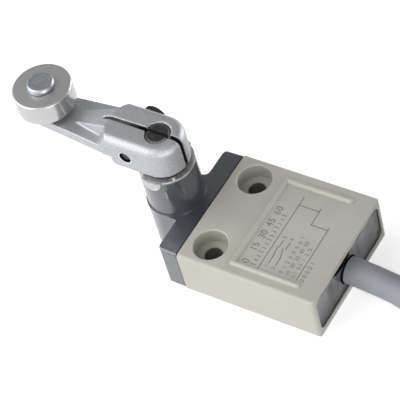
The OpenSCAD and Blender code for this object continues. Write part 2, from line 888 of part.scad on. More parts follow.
// Die-cast lever: slit hub, ridge that runs out on the arm, boss under the roller
module lever_arm() {
    color(lever_metal) difference() {
        union() {
            lever_hub();
            lever_ridge();
            translate([0, 0, arm_z]) linear_extrude(arm_t) arm_outline();
            translate([0, roller_y, arm_z]) cylinder(d = boss_d, h = arm_t + boss_h);
        }
        translate([0, shaft_y, lever_z - eps])
            cylinder(d = shaft_d + 2 * seat_gap, h = hub_h + 2 * eps);
        translate([0, roller_y, arm_z - eps])
            cylinder(d = pin_d + 2 * seat_gap, h = arm_t + boss_h + 2 * eps);
        block([-slit_w / 2, shaft_y - hub_w, lever_z - eps], [slit_w / 2, slit_end, hub_top + eps]);
        clamp_hollows();
    }
}

// Half section of the hub: straight side, round upper edge
module hub_section() {
    r = hub_w / 2;
    polygon([[0, 0], [r, 0], [r, hub_h - hub_edge], [r - hub_edge, hub_h], [0, hub_h]]);
    translate([r - hub_edge, hub_h - hub_edge]) circle(hub_edge);
}

// Hub: round end about the shaft and straight sides towards the arm, sloping down at the ramp
module lever_hub() {
    difference() {
        translate([0, 0, lever_z]) {
            translate([0, shaft_y, 0]) rotate([0, 0, 180]) rotate_extrude(angle = 180) hub_section();
            intersection() {
                translate([0, hub_face, 0]) rotate([90, 0, 0]) linear_extrude(hub_face - shaft_y) {
                    hub_section();
                    mirror([1, 0]) hub_section();
                }
                hub_ends();
            }
        }
        above_ramp();
    }
}

// End of the hub: round corners under the arm, a round face that leans back above it
module hub_ends() {
    split = arm_rise + arm_t;
    rise = hub_h - split + eps;
    translate([-hub_w / 2, shaft_y - 2 * hub_corner, -eps]) linear_extrude(split - arm_t / 2 + eps)
        round_rect(hub_w, hub_end - shaft_y + 2 * hub_corner, hub_corner);
    translate([0, hub_turn_y, split - arm_t]) cylinder(r = hub_turn_r, h = arm_t);
    translate([0, hub_turn_y, split])
        cylinder(r1 = hub_turn_r, r2 = hub_turn_r - rise * tan(hub_turn_lean), h = rise);
    translate([-hub_w, shaft_y - eps, split - arm_t])
        cube([2 * hub_w, hub_turn_y - shaft_y + eps, hub_h]);
}

// Everything above the slope that runs from the hub down to the arm
module above_ramp() {
    low = hub_top - (hub_top - arm_top) * (roller_y - ramp_y) / (ramp_foot - ramp_y);
    high = hub_top + hub_h;
    translate([-hub_w, 0, 0]) rotate([90, 0, 90]) linear_extrude(2 * hub_w)
        polygon([[ramp_y, hub_top], [roller_y, low], [roller_y, high], [ramp_y, high]]);
}

// Ridge on the arm: tapers towards the roller, with leaning sides
module lever_ridge() {
    start = hub_end - hub_corner;
    difference() {
        block([-ridge_root, start, arm_z + arm_t / 2], [ridge_root, ramp_foot, hub_top]);
        above_ramp();
        for (s = [0, 1]) mirror([s, 0, 0]) translate([ridge_tip / 2, ramp_foot, arm_top])
            rotate([0, 0, ridge_taper]) rotate([0, -ridge_draft, 0])
            block([0, -lever_r, -hub_h], [lever_r, lever_r, hub_h]);
    }
}

// Plan of the arm: as wide as the hub at its root, tapering to a round end under the roller
module arm_outline() {
    root = hub_w / 2 - arm_inset;
    lean = asin((root - arm_tip / 2) / (roller_y - hub_end));
    tip = arm_tip / 2 * [cos(lean), sin(lean)];
    translate([0, roller_y]) circle(d = arm_tip);
    polygon([
        [-root, hub_end - hub_corner], [root, hub_end - hub_corner], [root, hub_end],
        [tip.x, roller_y + tip.y], [-tip.x, roller_y + tip.y], [-root, hub_end]
    ]);
}

// Hole of the clamp screw: tapped in one half of the hub, free in the other, with a pocket for the head
module clamp_hollows() {
    bar_x([-hub_w, clamp_y, clamp_z], clamp_tap + 2 * seat_gap, 2 * hub_w);
    bar_x([0, clamp_y, clamp_z], clamp_d + 2 * clamp_room, hub_w);
    bar_x([clamp_seat, clamp_y, clamp_z], clamp_head + 2 * clamp_room, hub_w);
}

// Socket screw that clamps the hub to the shaft
module clamp_screw() {
    under = clamp_seat + washer_t;
    tip = -hub_w / 2 + clamp_tip_in;
    color(black_steel) difference() {
        union() {
            bar_x([tip, clamp_y, clamp_z], clamp_tap, slit_w / 2 - tip + eps);
            bar_x([slit_w / 2, clamp_y, clamp_z], clamp_d, under - slit_w / 2 + eps);
            bar_x([under, clamp_y, clamp_z], clamp_head, clamp_head_h);
        }
        translate([under + clamp_head_h / 2, clamp_y, clamp_z]) rotate([0, 90, 0])
            cylinder(d = clamp_socket / cos(30), h = clamp_head_h, $fn = 6);
    }
}

module clamp_washer() {
    color(steel) difference() {
        bar_x([clamp_seat, clamp_y, clamp_z], clamp_head, washer_t);
        bar_x([clamp_seat - eps, clamp_y, clamp_z], clamp_d + clamp_room, washer_t + 2 * eps);
    }
}

// Roller and its pin

// Turned steel roller with bevelled edges
module roller() {
    r = roller_d / 2;
    bore = pin_d / 2 + run_gap;
    color(steel) translate([0, roller_y, roller_z]) rotate_extrude($fn = 96) polygon([
        [bore, 0], [r - roller_edge, 0], [r, roller_edge], [r, roller_w - roller_edge],
        [r - roller_edge, roller_w], [bore, roller_w]
    ]);
}

// Riveted pin: bevelled head over the roller, spread tail under the arm
module roller_pin() {
    head_z = roller_z + roller_w + side_gap;
    color(steel) translate([0, roller_y, 0]) {
        translate([0, 0, arm_z - pin_tail_h])
            cylinder(d1 = pin_tail - 2 * pin_bevel, d2 = pin_tail, h = pin_tail_h);
        translate([0, 0, arm_z - eps]) cylinder(d = pin_d, h = head_z - arm_z + 2 * eps);
        translate([0, 0, head_z]) cylinder(d = pin_head, h = pin_rim);
        translate([0, 0, head_z + pin_rim])
            cylinder(d1 = pin_head, d2 = pin_head - 2 * pin_bevel, h = pin_head_h - pin_rim);
    }
}

// Thin washer between the boss and the roller
module roller_washer() {
    color(steel) translate([0, roller_y, arm_top + boss_h]) difference() {
        cylinder(d = boss_d + 2 * roller_washer_rim, h = roller_washer_t);
        translate([0, 0, -eps]) cylinder(d = pin_d + 2 * seat_gap, h = roller_washer_t + 2 * eps);
    }
}

// Cable

// Cable from the potting to the hank
module cable() {
    route = [
        for (y = [cable_end:-cable_step:cable_far])
        let (fall = cable_rest - cable_z, climb = hank_foot - cable_rest)
        [cable_swing * share(y, swing_y), y,
            cable_z + fall * share(y, fall_y) + climb * share(y, climb_y)]
    ];
    color(sheath_grey) swept_tube(route, cable_d, cable_sides, [0, 0, 1]);
}

// Outer form of the hank: a long ring with round ends, and the end of the cable inside it
module cable_hank() {
    color(sheath_grey) translate([0, 0, tie_t]) {
        linear_extrude(hank_h) difference() {
            hank_outline(hank_out);
            hank_outline(hank_in);
        }
        block([hank_x - hank_in - eps, tail_y, 0], [tail_x + cable_d / 2, tail_from, cable_d]);
    }
}

module hank_outline(r) {
    translate([hank_x, hank_y]) circle(r, $fn = 96);
    translate([hank_x, hank_y - hank_run]) circle(r, $fn = 96);
    translate([hank_x - r, hank_y - hank_run]) square([2 * r, hank_run]);
}

// Two straps round the two runs of the hank
module cable_ties() {
    bundle = hank_out - hank_in;
    middle = (hank_out + hank_in) / 2;
    outer = bundle / 2 + tie_gap + tie_t;
    inner = bundle / 2 + tie_gap;
    color(rubber) for (s = [-1, 1]) translate([hank_x + s * middle, tie_y, 0]) difference() {
        block([-outer, -tie_w / 2, 0], [outer, tie_w / 2, hank_h + 2 * tie_t + tie_gap]);
        block([-inner, -tie_w, tie_t], [inner, tie_w, tie_t + hank_h + tie_gap]);
    }
}

// Four cores at the far end of the cable, with their bared strands
module core_ends() {
    color(copper) for (i = [-1, 1], k = [-1, 1])
        translate([tail_x + i * core_pitch, tail_y - seat_gap, hank_foot + k * core_pitch])
        rotate([90, 0, 0]) {
            cylinder(d = core_d, h = core_len);
            cylinder(d = strand_d, h = core_len + strand_len);
        }
}

case();
head();
head_gasket();
head_screws();
marking_plate();
shaft();
shaft_bush();
shaft_seal();
retaining_ring();
plunger();
plunger_spring();
plunger_seal();
switch_base();
switch_cover();
switch_button();
contact_blade();
common_terminal();
open_terminal();
closed_terminal();
lead_common();
lead_open();
lead_closed();
lead_earth();
earth_screw();
potting();
lever_arm();
clamp_screw();
clamp_washer();
roller();
roller_pin();
roller_washer();
cable();
cable_hank();
cable_ties();
core_ends();
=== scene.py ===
import math
import bmesh
import bpy
from mathutils import Matrix, Vector


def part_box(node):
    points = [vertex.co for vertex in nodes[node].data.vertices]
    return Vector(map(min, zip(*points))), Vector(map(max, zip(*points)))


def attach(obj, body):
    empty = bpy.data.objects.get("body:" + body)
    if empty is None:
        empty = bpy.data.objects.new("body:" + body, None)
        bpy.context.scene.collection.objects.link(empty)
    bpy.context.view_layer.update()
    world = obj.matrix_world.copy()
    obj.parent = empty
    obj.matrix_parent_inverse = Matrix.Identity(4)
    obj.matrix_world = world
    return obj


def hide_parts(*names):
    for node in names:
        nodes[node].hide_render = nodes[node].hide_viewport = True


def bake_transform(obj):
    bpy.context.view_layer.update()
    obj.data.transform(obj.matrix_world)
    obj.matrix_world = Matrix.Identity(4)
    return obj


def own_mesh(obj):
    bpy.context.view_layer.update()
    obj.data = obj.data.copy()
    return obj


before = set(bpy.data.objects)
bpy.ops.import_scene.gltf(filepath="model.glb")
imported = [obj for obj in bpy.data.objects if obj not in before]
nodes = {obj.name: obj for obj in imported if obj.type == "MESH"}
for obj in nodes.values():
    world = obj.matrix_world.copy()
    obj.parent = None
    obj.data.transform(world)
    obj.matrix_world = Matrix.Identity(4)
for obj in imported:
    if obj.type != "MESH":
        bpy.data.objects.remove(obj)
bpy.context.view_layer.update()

# Camera: a long lens held above the cable end, looking down on the front face and along the lever,
# as a shop picture is taken.
camera_lens = bpy.data.cameras.new("camera")
camera_lens.sensor_width = 36.0
camera_lens.lens = 174.77
camera_lens.clip_start = 0.01
camera = bpy.data.objects.new("camera", camera_lens)
camera.matrix_world = Matrix((
    (0.5007, 0.72824, -0.46794, -0.25647),
    (-0.84362, 0.28942, -0.45227, -0.23708),
    (-0.19393, 0.62121, 0.75927, 0.43206),
    (0.0, 0.0, 0.0, 1.0)))
bpy.context.collection.objects.link(camera)
bpy.context.scene.camera = camera

# Table and studio: a white table top in a pale tent. The tent is bright low down and on the left and
# dim overhead, so that upright faces shine and flat tops stay grey. Four soft lamps stand round it.
bpy.context.scene.view_settings.view_transform = "Standard"

table_half, table_z = 3.0, -0.0002
table_mesh = bpy.data.meshes.new("table_top")
table = bmesh.new()
bmesh.ops.create_grid(table, x_segments=1, y_segments=1, size=table_half)
bmesh.ops.translate(table, verts=table.verts, vec=(0.0, 0.0, table_z))
table.to_mesh(table_mesh)
table.free()
table_top = bpy.data.objects.new("table_top", table_mesh)
bpy.context.collection.objects.link(table_top)

table_white = bpy.data.materials.new("table_white")
table_white.use_nodes = True
tree = table_white.node_tree
board = tree.nodes["Principled BSDF"]
board.inputs["Base Color"].default_value = (0.86, 0.86, 0.86, 1.0)
board.inputs["Roughness"].default_value = 0.8
board.inputs["Emission Color"].default_value = (0.55, 0.55, 0.55, 1.0)
path = tree.nodes.new("ShaderNodeLightPath")
mirrored = tree.nodes.new("ShaderNodeMath")
mirrored.operation = "MULTIPLY"
mirrored.inputs[1].default_value = 0.5
tree.links.new(path.outputs["Is Glossy Ray"], mirrored.inputs[0])
seen = tree.nodes.new("ShaderNodeMath")
seen.operation = "MAXIMUM"
tree.links.new(path.outputs["Is Camera Ray"], seen.inputs[0])
tree.links.new(mirrored.outputs[0], seen.inputs[1])
tree.links.new(seen.outputs[0], board.inputs["Emission Strength"])
table_mesh.materials.append(table_white)

studio = bpy.data.worlds.new("studio")
bpy.context.scene.world = studio
studio.use_nodes = True
tree = studio.node_tree
walls = tree.nodes["Background"]
walls.inputs["Color"].default_value = (1.0, 1.0, 1.0, 1.0)
way = tree.nodes.new("ShaderNodeVectorMath")
way.operation = "DOT_PRODUCT"
way.inputs[1].default_value = (-0.50, 0.05, -0.86)
tree.links.new(tree.nodes.new("ShaderNodeTexCoord").outputs["Generated"], way.inputs[0])
bright_side = tree.nodes.new("ShaderNodeMapRange")
bright_side.interpolation_type = "SMOOTHSTEP"
bright_side.inputs["From Min"].default_value = -1.0
bright_side.inputs["From Max"].default_value = 0.45
bright_side.inputs["To Min"].default_value = 0.30
bright_side.inputs["To Max"].default_value = 0.95
tree.links.new(way.outputs["Value"], bright_side.inputs["Value"])
behind = tree.nodes.new("ShaderNodeMath")
behind.operation = "MAXIMUM"
tree.links.new(bright_side.outputs["Result"], behind.inputs[0])
tree.links.new(tree.nodes.new("ShaderNodeLightPath").outputs["Is Camera Ray"], behind.inputs[1])
tree.links.new(behind.outputs[0], walls.inputs["Strength"])

lit_point = Vector((0.0, 0.0, 0.02))
for name, place, width, watts in (("left_lamp", (-0.42, 0.55, 0.55), 1.00, 5.9),
                                  ("front_lamp", (-0.54, -0.68, 0.14), 0.40, 2.3),
                                  ("top_lamp", (-0.42, -0.30, 0.70), 0.50, 0.5),
                                  ("right_lamp", (0.76, -0.36, 0.16), 0.40, 2.6)):
    panel = bpy.data.lights.new(name, "AREA")
    panel.shape = "SQUARE"
    panel.size = width
    panel.energy = watts
    lamp = bpy.data.objects.new(name, panel)
    aim = (lit_point - Vector(place)).to_track_quat("-Z", "Y").to_matrix().to_4x4()
    lamp.matrix_world = Matrix.Translation(place) @ aim
    bpy.context.collection.objects.link(lamp)

# Cable: grey round sheathed lead, cast into the resin at the end of the case. It droops to the table,
# runs out of the picture and lies there as a hank, the way a pre-wired switch is delivered.
cable_d = 0.008
cable_exit = Vector((0.0, -0.0362, 0.0068))
cable_start_y, cable_far_y = -0.0302, -0.092
rest_z, swing_x = 0.0042, -0.0088
turn_pitch = 0.0083
fold_r = 0.0245
hank_x, hank_near, hank_run = 0.024, -0.087, 0.0723
hank_floor, hank_layers = 0.005, 5
droop, lift, swing = (-0.035, -0.060), (-0.062, -0.084), (-0.048, -0.084)
lead_steps, run_steps, fold_steps, tail_steps = 62, 12, 24, 16
tail_shift, tail_run = 0.009, 0.040

def ease(s):
    """A smooth step from 0 to 1."""
    s = min(max(s, 0.0), 1.0)
    return s * s * (3 - 2 * s)

def span(y, start, end):
    """How far along a stretch of the route y is, eased at both ends."""
    return ease((y - start) / (end - start))

route = []
for i in range(lead_steps):
    y = cable_start_y + (cable_far_y - cable_start_y) * i / lead_steps
    z = cable_exit.z + (rest_z - cable_exit.z) * span(y, *droop) + (hank_floor - rest_z) * span(y, *lift)
    route.append(Vector((swing_x * span(y, *swing), y, z)))

def lay_run(x, y0, y1, z0, z1):
    """A straight run of the hank, which may climb to the next layer."""
    for i in range(run_steps):
        s = i / run_steps
        route.append(Vector((x, y0 + (y1 - y0) * s, z0 + (z1 - z0) * ease(s))))

def lay_fold(y, turn, r0, r1, z):
    """A half turn at one end of the hank, which may change its radius."""
    for i in range(fold_steps):
        s = i / fold_steps
        a, r = math.pi * (turn + s), r0 + (r1 - r0) * ease(s)
        route.append(Vector((hank_x + r * math.cos(a), y + r * math.sin(a), z)))

hank_far = hank_near - hank_run
r_out = fold_r + turn_pitch
layers = [hank_floor + turn_pitch * k for k in range(hank_layers)]
for k in range(hank_layers):
    lay_run(hank_x - r_out, cable_far_y if k == 0 else hank_near, hank_far, layers[k], layers[k])
    if k < hank_layers - 1:
        lay_fold(hank_far, 1, r_out, r_out, layers[k])
        lay_run(hank_x + r_out, hank_far, hank_near, layers[k], layers[k + 1])
        lay_fold(hank_near, 0, r_out, r_out, layers[k + 1])
lay_fold(hank_far, 1, r_out, fold_r, layers[-1])
for k in reversed(range(hank_layers)):
    if k < hank_layers - 1:
        lay_run(hank_x - fold_r, hank_near, hank_far, layers[k + 1], layers[k])
        lay_fold(hank_far, 1, fold_r, fold_r, layers[k])
    lay_run(hank_x + fold_r, hank_far, hank_near, layers[k], layers[k])
    lay_fold(hank_near, 0, fold_r, fold_r, layers[k])
for i in range(tail_steps + 1):
    s = i / tail_steps
    route.append(Vector((hank_x - fold_r + tail_shift * ease(s), hank_near - tail_run * s, hank_floor)))

sheath_line = bpy.data.curves.new("cable_sheath", "CURVE")
sheath_line.dimensions = "3D"
spline = sheath_line.splines.new("POLY")
spline.points.add(len(route) - 1)
for point, place in zip(spline.points, route):
    point.co = (*place, 1.0)
sheath_line.bevel_depth = cable_d / 2
sheath_line.bevel_resolution = 12
sheath_line.use_fill_caps = True
cable_sheath = bpy.data.objects.new("cable_sheath", sheath_line)
bpy.context.collection.objects.link(cable_sheath)

def finish_of(name, colour, roughness, metallic=0.0):
    """A material that starts from one colour and roughness, with Object coordinates ready for its grain."""
    material = bpy.data.materials.new(name)
    material.use_nodes = True
    tree = material.node_tree
    shader = tree.nodes["Principled BSDF"]
    shader.inputs["Base Color"].default_value = (*colour, 1.0)
    shader.inputs["Roughness"].default_value = roughness
    shader.inputs["Metallic"].default_value = metallic
    return material, tree, shader, tree.nodes.new("ShaderNodeTexCoord").outputs["Object"]

def fade(tree, value, start, end, low=0.0, high=1.0):
    """A value that goes from low to high while another goes from start to end."""
    ramp = tree.nodes.new("ShaderNodeMapRange")
    for socket, number in (("From Min", start), ("From Max", end), ("To Min", low), ("To Max", high)):
        ramp.inputs[socket].default_value = number
    tree.links.new(value, ramp.inputs["Value"])
    return ramp.outputs["Result"]

def mottle(tree, shader, coords, colour, other, scale, detail=3.0, gloss=None):
    """Colour drifts between two shades at a scale given in cells per metre, and where gloss is given
    the roughness drifts with it."""
    cloud = tree.nodes.new("ShaderNodeTexNoise")
    cloud.inputs["Scale"].default_value = scale
    cloud.inputs["Detail"].default_value = detail
    tree.links.new(coords, cloud.inputs["Vector"])
    shades = tree.nodes.new("ShaderNodeValToRGB")
    shades.color_ramp.elements[0].position = 0.35
    shades.color_ramp.elements[1].position = 0.65
    shades.color_ramp.elements[0].color = (*colour, 1.0)
    shades.color_ramp.elements[1].color = (*other, 1.0)
    tree.links.new(cloud.outputs["Fac"], shades.inputs["Fac"])
    tree.links.new(shades.outputs["Color"], shader.inputs["Base Color"])
    if gloss:
        tree.links.new(fade(tree, cloud.outputs["Fac"], 0.3, 0.7, *gloss), shader.inputs["Roughness"])
    return shades.outputs["Color"]

def grain(tree, shader, coords, scale, depth, detail=2.0):
    """Fine bumps of a cast, painted or moulded surface; depth in metres."""
    speck = tree.nodes.new("ShaderNodeTexNoise")
    speck.inputs["Scale"].default_value = scale
    speck.inputs["Detail"].default_value = detail
    tree.links.new(coords, speck.inputs["Vector"])
    bump = tree.nodes.new("ShaderNodeBump")
    bump.inputs["Strength"].default_value = 1.0
    bump.inputs["Distance"].default_value = depth
    tree.links.new(speck.outputs["Fac"], bump.inputs["Height"])
    tree.links.new(bump.outputs["Normal"], shader.inputs["Normal"])

sheath_grey, tree, shader, coords = finish_of("sheath_grey", (0.30, 0.305, 0.345), 0.48)
mottle(tree, shader, coords, (0.29, 0.295, 0.334), (0.31, 0.315, 0.356), 220, gloss=(0.42, 0.54))
grain(tree, shader, coords, 2600, 0.00002)
sheath_line.materials.append(sheath_grey)
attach(cable_sheath, "case")
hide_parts("cable", "cable_hank")

# Cable straps: two black nylon ties pulled tight round the hank, each a thin band with its moulded
# head on the inner side and the cut tail standing out of it.
strap_y, strap_w, strap_t = -0.138, 0.005, 0.001
strap_wide, strap_high, strap_corner = 0.0185, 0.0433, 0.004
lock_half, lock_foot, lock_top, lock_deep = 0.0031, 0.0190, 0.0248, 0.0044
end_near, end_far, end_foot, end_top = 0.0014, 0.0024, 0.0170, 0.0345
upright_turn = Matrix.Rotation(math.pi / 2, 3, "X")

def shaped(name, build, finish, body, sharp=35.0, machined=False):
    """A new mesh piece from a bmesh that is already in place, dressed and riding on a body, or on none.
    On a machined piece the large flat faces keep their own shading up to the eased edges."""
    mesh = bpy.data.meshes.new(name)
    for face in build.faces:
        face.smooth = True
    build.to_mesh(mesh)
    build.free()
    mesh.set_sharp_from_angle(angle=math.radians(sharp))
    mesh.materials.append(finish)
    piece = bpy.data.objects.new(name, mesh)
    bpy.context.collection.objects.link(piece)
    if machined:
        piece.modifiers.new("flat_faces", "WEIGHTED_NORMAL").keep_sharp = True
    if body:
        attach(piece, body)
    return piece

def round_block(build, low, high, radius, segments=2):
    """A block between two corners with round edges, added to a bmesh."""
    made = bmesh.ops.create_cube(build, size=1.0)["verts"]
    size = Vector(high) - Vector(low)
    bmesh.ops.scale(build, verts=made, vec=size)
    bmesh.ops.translate(build, verts=made, vec=(Vector(low) + Vector(high)) / 2)
    edges = list({edge for vert in made for edge in vert.link_edges})
    bmesh.ops.bevel(build, geom=edges, offset=radius, offset_type="OFFSET", segments=segments,
                    profile=0.5, affect="EDGES", material=-1)

def add_to(whole, part):
    """Joins a finished bmesh to a larger one."""
    carried = bpy.data.meshes.new("carried")
    part.to_mesh(carried)
    part.free()
    whole.from_mesh(carried)
    bpy.data.meshes.remove(carried)

straps = bmesh.new()
for side in (-1, 1):
    loop = bmesh.new()
    bmesh.ops.create_grid(loop, x_segments=1, y_segments=1, size=0.5)
    bmesh.ops.scale(loop, verts=loop.verts, vec=(strap_wide, strap_high, 1.0))
    bmesh.ops.bevel(loop, geom=loop.verts, offset=strap_corner, offset_type="OFFSET", segments=8,
                    profile=0.5, affect="VERTICES", material=-1)
    band = bmesh.ops.inset_region(loop, faces=loop.faces, thickness=strap_t, use_boundary=True,
                                   use_even_offset=True)["faces"]
    bmesh.ops.delete(loop, geom=[f for f in loop.faces if f not in band], context="FACES")
    grown = bmesh.ops.extrude_face_region(loop, geom=loop.faces)["geom"]
    bmesh.ops.translate(loop, verts=[v for v in grown if isinstance(v, bmesh.types.BMVert)],
                        vec=(0.0, 0.0, strap_w))
    bmesh.ops.recalc_face_normals(loop, faces=loop.faces)
    bmesh.ops.rotate(loop, verts=loop.verts, cent=(0, 0, 0), matrix=upright_turn)
    middle = hank_x + side * (fold_r + turn_pitch / 2)
    bmesh.ops.translate(loop, verts=loop.verts, vec=(middle, strap_y + strap_w / 2, strap_high / 2))
    inner = middle - side * strap_wide / 2
    near, far = sorted((inner, inner - side * lock_deep))
    round_block(loop, (near, strap_y - lock_half, lock_foot), (far, strap_y + lock_half, lock_top),
                0.0005, 3)
    near, far = sorted((inner - side * end_near, inner - side * end_far))
    round_block(loop, (near, strap_y - strap_w / 2, end_foot), (far, strap_y + strap_w / 2, end_top),
                0.0002)
    add_to(straps, loop)
strap_nylon, tree, shader, coords = finish_of("strap_nylon", (0.017, 0.017, 0.019), 0.42)
mottle(tree, shader, coords, (0.015, 0.015, 0.017), (0.021, 0.021, 0.023), 500)
ratchet = tree.nodes.new("ShaderNodeTexWave")
ratchet.bands_direction = "Z"
ratchet.wave_profile = "SAW"
ratchet.inputs["Scale"].default_value = 160
ratchet.inputs["Distortion"].default_value = 0.0
tree.links.new(coords, ratchet.inputs["Vector"])
teeth = tree.nodes.new("ShaderNodeBump")
teeth.inputs["Distance"].default_value = 0.0001
tree.links.new(ratchet.outputs["Fac"], teeth.inputs["Height"])
tree.links.new(teeth.outputs["Normal"], shader.inputs["Normal"])
hank_straps = shaped("hank_straps", straps, strap_nylon, "case", sharp=30.0)
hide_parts("cable_ties")

# Core ends: the four insulated cores stand out of the cut sheath, each stripped to its twisted
# copper strands for wiring up. Black, white, red and green are the colours inside the case too.
tail_x, tail_y, tail_z = 0.0085, -0.12702, 0.005
core_pitch, core_r, core_len = 0.0013, 0.0011, 0.020
strand_r, strand_len, strand_in, strand_turn = 0.0006, 0.006, 0.0015, 1.6 * math.pi
wire_r, wire_ring, outer_wires, wire_steps = 0.0002, 0.0004, 6, 16

def lathe(build, profile, place, axis, steps):
    """A turned shape: a profile of (radius, height) points spun round an axis, added to a bmesh."""
    made = bmesh.new()
    chain = [made.verts.new((r, 0.0, h)) for r, h in profile]
    for a, b in zip(chain, chain[1:]):
        made.edges.new((a, b))
    bmesh.ops.spin(made, geom=made.verts[:] + made.edges[:], cent=(0, 0, 0), axis=(0, 0, 1),
                   dvec=(0, 0, 0), angle=2 * math.pi, steps=steps, use_merge=True)
    bmesh.ops.remove_doubles(made, verts=made.verts, dist=0.000001)
    bmesh.ops.recalc_face_normals(made, faces=made.faces)
    turn = {"Z": Matrix.Identity(3), "X": Matrix.Rotation(math.pi / 2, 3, "Y"),
            "Y": Matrix.Rotation(-math.pi / 2, 3, "X")}[axis]
    bmesh.ops.transform(made, verts=made.verts, matrix=Matrix.Translation(place) @ turn.to_4x4())
    add_to(build, made)

core_finish = {}
for colour, shade, other in (("black", (0.016, 0.016, 0.018), (0.022, 0.022, 0.024)),
                             ("white", (0.74, 0.72, 0.67), (0.78, 0.76, 0.71)),
                             ("red", (0.36, 0.028, 0.02), (0.40, 0.034, 0.025)),
                             ("green", (0.055, 0.17, 0.032), (0.065, 0.19, 0.038))):
    finish, tree, shader, coords = finish_of("core_" + colour, shade, 0.42)
    mottle(tree, shader, coords, shade, other, 500)
    grain(tree, shader, coords, 3000, 0.00001)
    core_finish[colour] = finish

copper, tree, shader, coords = finish_of("copper_strand", (0.72, 0.36, 0.20), 0.3, 1.0)
mottle(tree, shader, coords, (0.66, 0.31, 0.16), (0.76, 0.40, 0.24), 2500)
strands = bmesh.new()
for colour, i, k in (("black", -1, -1), ("white", 1, -1), ("red", -1, 1), ("green", 1, 1)):
    at = Vector((tail_x + i * core_pitch, tail_y - core_len, tail_z + k * core_pitch))
    jacket = bmesh.new()
    lathe(jacket, [(0, core_len), (core_r, core_len), (core_r, 0.0001), (core_r - 0.0001, 0.0),
                   (strand_r, 0.0), (strand_r, 0.002), (0, 0.002)], at, "Y", 24)
    shaped("jacket_" + colour, jacket, core_finish[colour], "case")
    for wire in range(outer_wires + 1):
        off_centre = Vector((wire_ring if wire < outer_wires else 0.0, 0, 0))
        turn = Matrix.Rotation(wire * math.pi / 3, 3, "Y") @ off_centre
        drawn = bmesh.new()
        bmesh.ops.create_circle(drawn, cap_ends=False, segments=8, radius=wire_r)
        bmesh.ops.rotate(drawn, verts=drawn.verts, cent=(0, 0, 0), matrix=upright_turn)
        bmesh.ops.translate(drawn, verts=drawn.verts, vec=at + turn + Vector((0, strand_in, 0)))
        bmesh.ops.spin(drawn, geom=drawn.verts[:] + drawn.edges[:], cent=at, axis=(0, 1, 0),
                       dvec=(0, -(strand_len + strand_in) / wire_steps, 0),
                       angle=strand_turn, steps=wire_steps)
        bmesh.ops.holes_fill(drawn, edges=[e for e in drawn.edges if e.is_boundary], sides=0)
        bmesh.ops.recalc_face_normals(drawn, faces=drawn.faces)
        add_to(strands, drawn)
copper_strands = shaped("copper_strands", strands, copper, "case")
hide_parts("core_ends")

# Snap switch: a black thermoset base and cover pressed together round three sheet terminals and the
# contact blade, a spring held at one end that bends where the red moulded button presses on it. It is
# dropped into its pocket with its leads before the resin is poured.
mech_z = 0.0079
blade_fixed, blade_pressed, blade_cuts, contact_room = -0.00735, 0.0, 12, 0.00005

def dress(finish, *names):
    """Gives CAD nodes a finish of their own."""
    for name in names:
        nodes[name].data.materials.clear()
        nodes[name].data.materials.append(finish)

switch_black, tree, shader, coords = finish_of("switch_black", (0.02, 0.02, 0.022), 0.5)
mottle(tree, shader, coords, (0.018, 0.018, 0.02), (0.026, 0.026, 0.028), 300, gloss=(0.42, 0.58))
grain(tree, shader, coords, 5000, 0.00001)
dress(switch_black, "switch_base", "switch_cover")
button_red, tree, shader, coords = finish_of("button_red", (0.40, 0.035, 0.025), 0.38)
mottle(tree, shader, coords, (0.38, 0.032, 0.022), (0.43, 0.04, 0.03), 600)
dress(button_red, "switch_button")
contact_brass, tree, shader, coords = finish_of("contact_brass", (0.55, 0.30, 0.13), 0.34, 1.0)
mottle(tree, shader, coords, (0.50, 0.26, 0.10), (0.60, 0.34, 0.16), 700, gloss=(0.26, 0.42))
dress(contact_brass, "contact_blade", "common_terminal", "open_terminal", "closed_terminal")

def merged_copy(node):
    """A copy of a CAD node's mesh with its loose triangles joined."""
    copy = bmesh.new()
    copy.from_mesh(nodes[node].data)
    bmesh.ops.remove_doubles(copy, verts=copy.verts, dist=0.000002)
    return copy

blade_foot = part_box("contact_blade")[0].y
blade = merged_copy("contact_blade")
for k in range(blade_cuts + 1):
    cut_x = blade_fixed + (blade_pressed - blade_fixed) * k / blade_cuts
    bmesh.ops.bisect_plane(blade, geom=blade.verts[:] + blade.edges[:] + blade.faces[:],
                           plane_co=(cut_x, 0.0, 0.0), plane_no=(1.0, 0.0, 0.0))
contact_face = [v for v in blade.verts if v.co.y < blade_foot + 0.00001]
bmesh.ops.translate(blade, verts=contact_face, vec=(0.0, contact_room, 0.0))
sprung_blade = shaped("sprung_blade", blade, contact_brass, None)
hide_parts("contact_blade")
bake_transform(sprung_blade)
for colour, lead in (("black", "lead_common"), ("white", "lead_open"), ("red", "lead_closed"),
                     ("green", "lead_earth")):
    dress(core_finish[colour], lead)

# Case: a die casting, open at the cable end, with cast counterbores and a raised frame for the label,
# sprayed a warm pale grey. Every edge is a little round under the paint.
mount_x, hole_r, bore_painted_shade = 0.0125, 0.00255, 0.0005
flat_angle, hard_angle = math.radians(0.6), math.radians(25.0)

def eased_copy(node, radius):
    """A merged copy of a CAD node with its hard edges rounded."""
    copy = merged_copy(node)
    bmesh.ops.dissolve_limit(copy, angle_limit=flat_angle, verts=copy.verts, edges=copy.edges)
    hard = [edge for edge in copy.edges if edge.calc_face_angle(0.0) > hard_angle]
    bmesh.ops.bevel(copy, geom=hard, offset=radius, offset_type="OFFSET", segments=2,
                    profile=0.5, affect="EDGES", clamp_overlap=True, loop_slide=True, material=-1)
    return copy

case_paint, tree, shader, coords = finish_of("case_paint", (0.47, 0.46, 0.41), 0.42)
shade = mottle(tree, shader, coords, (0.455, 0.445, 0.397), (0.485, 0.475, 0.427), 90, gloss=(0.38, 0.48))
grain(tree, shader, coords, 3200, 0.00003)
shader.inputs["Specular IOR Level"].default_value = 0.7

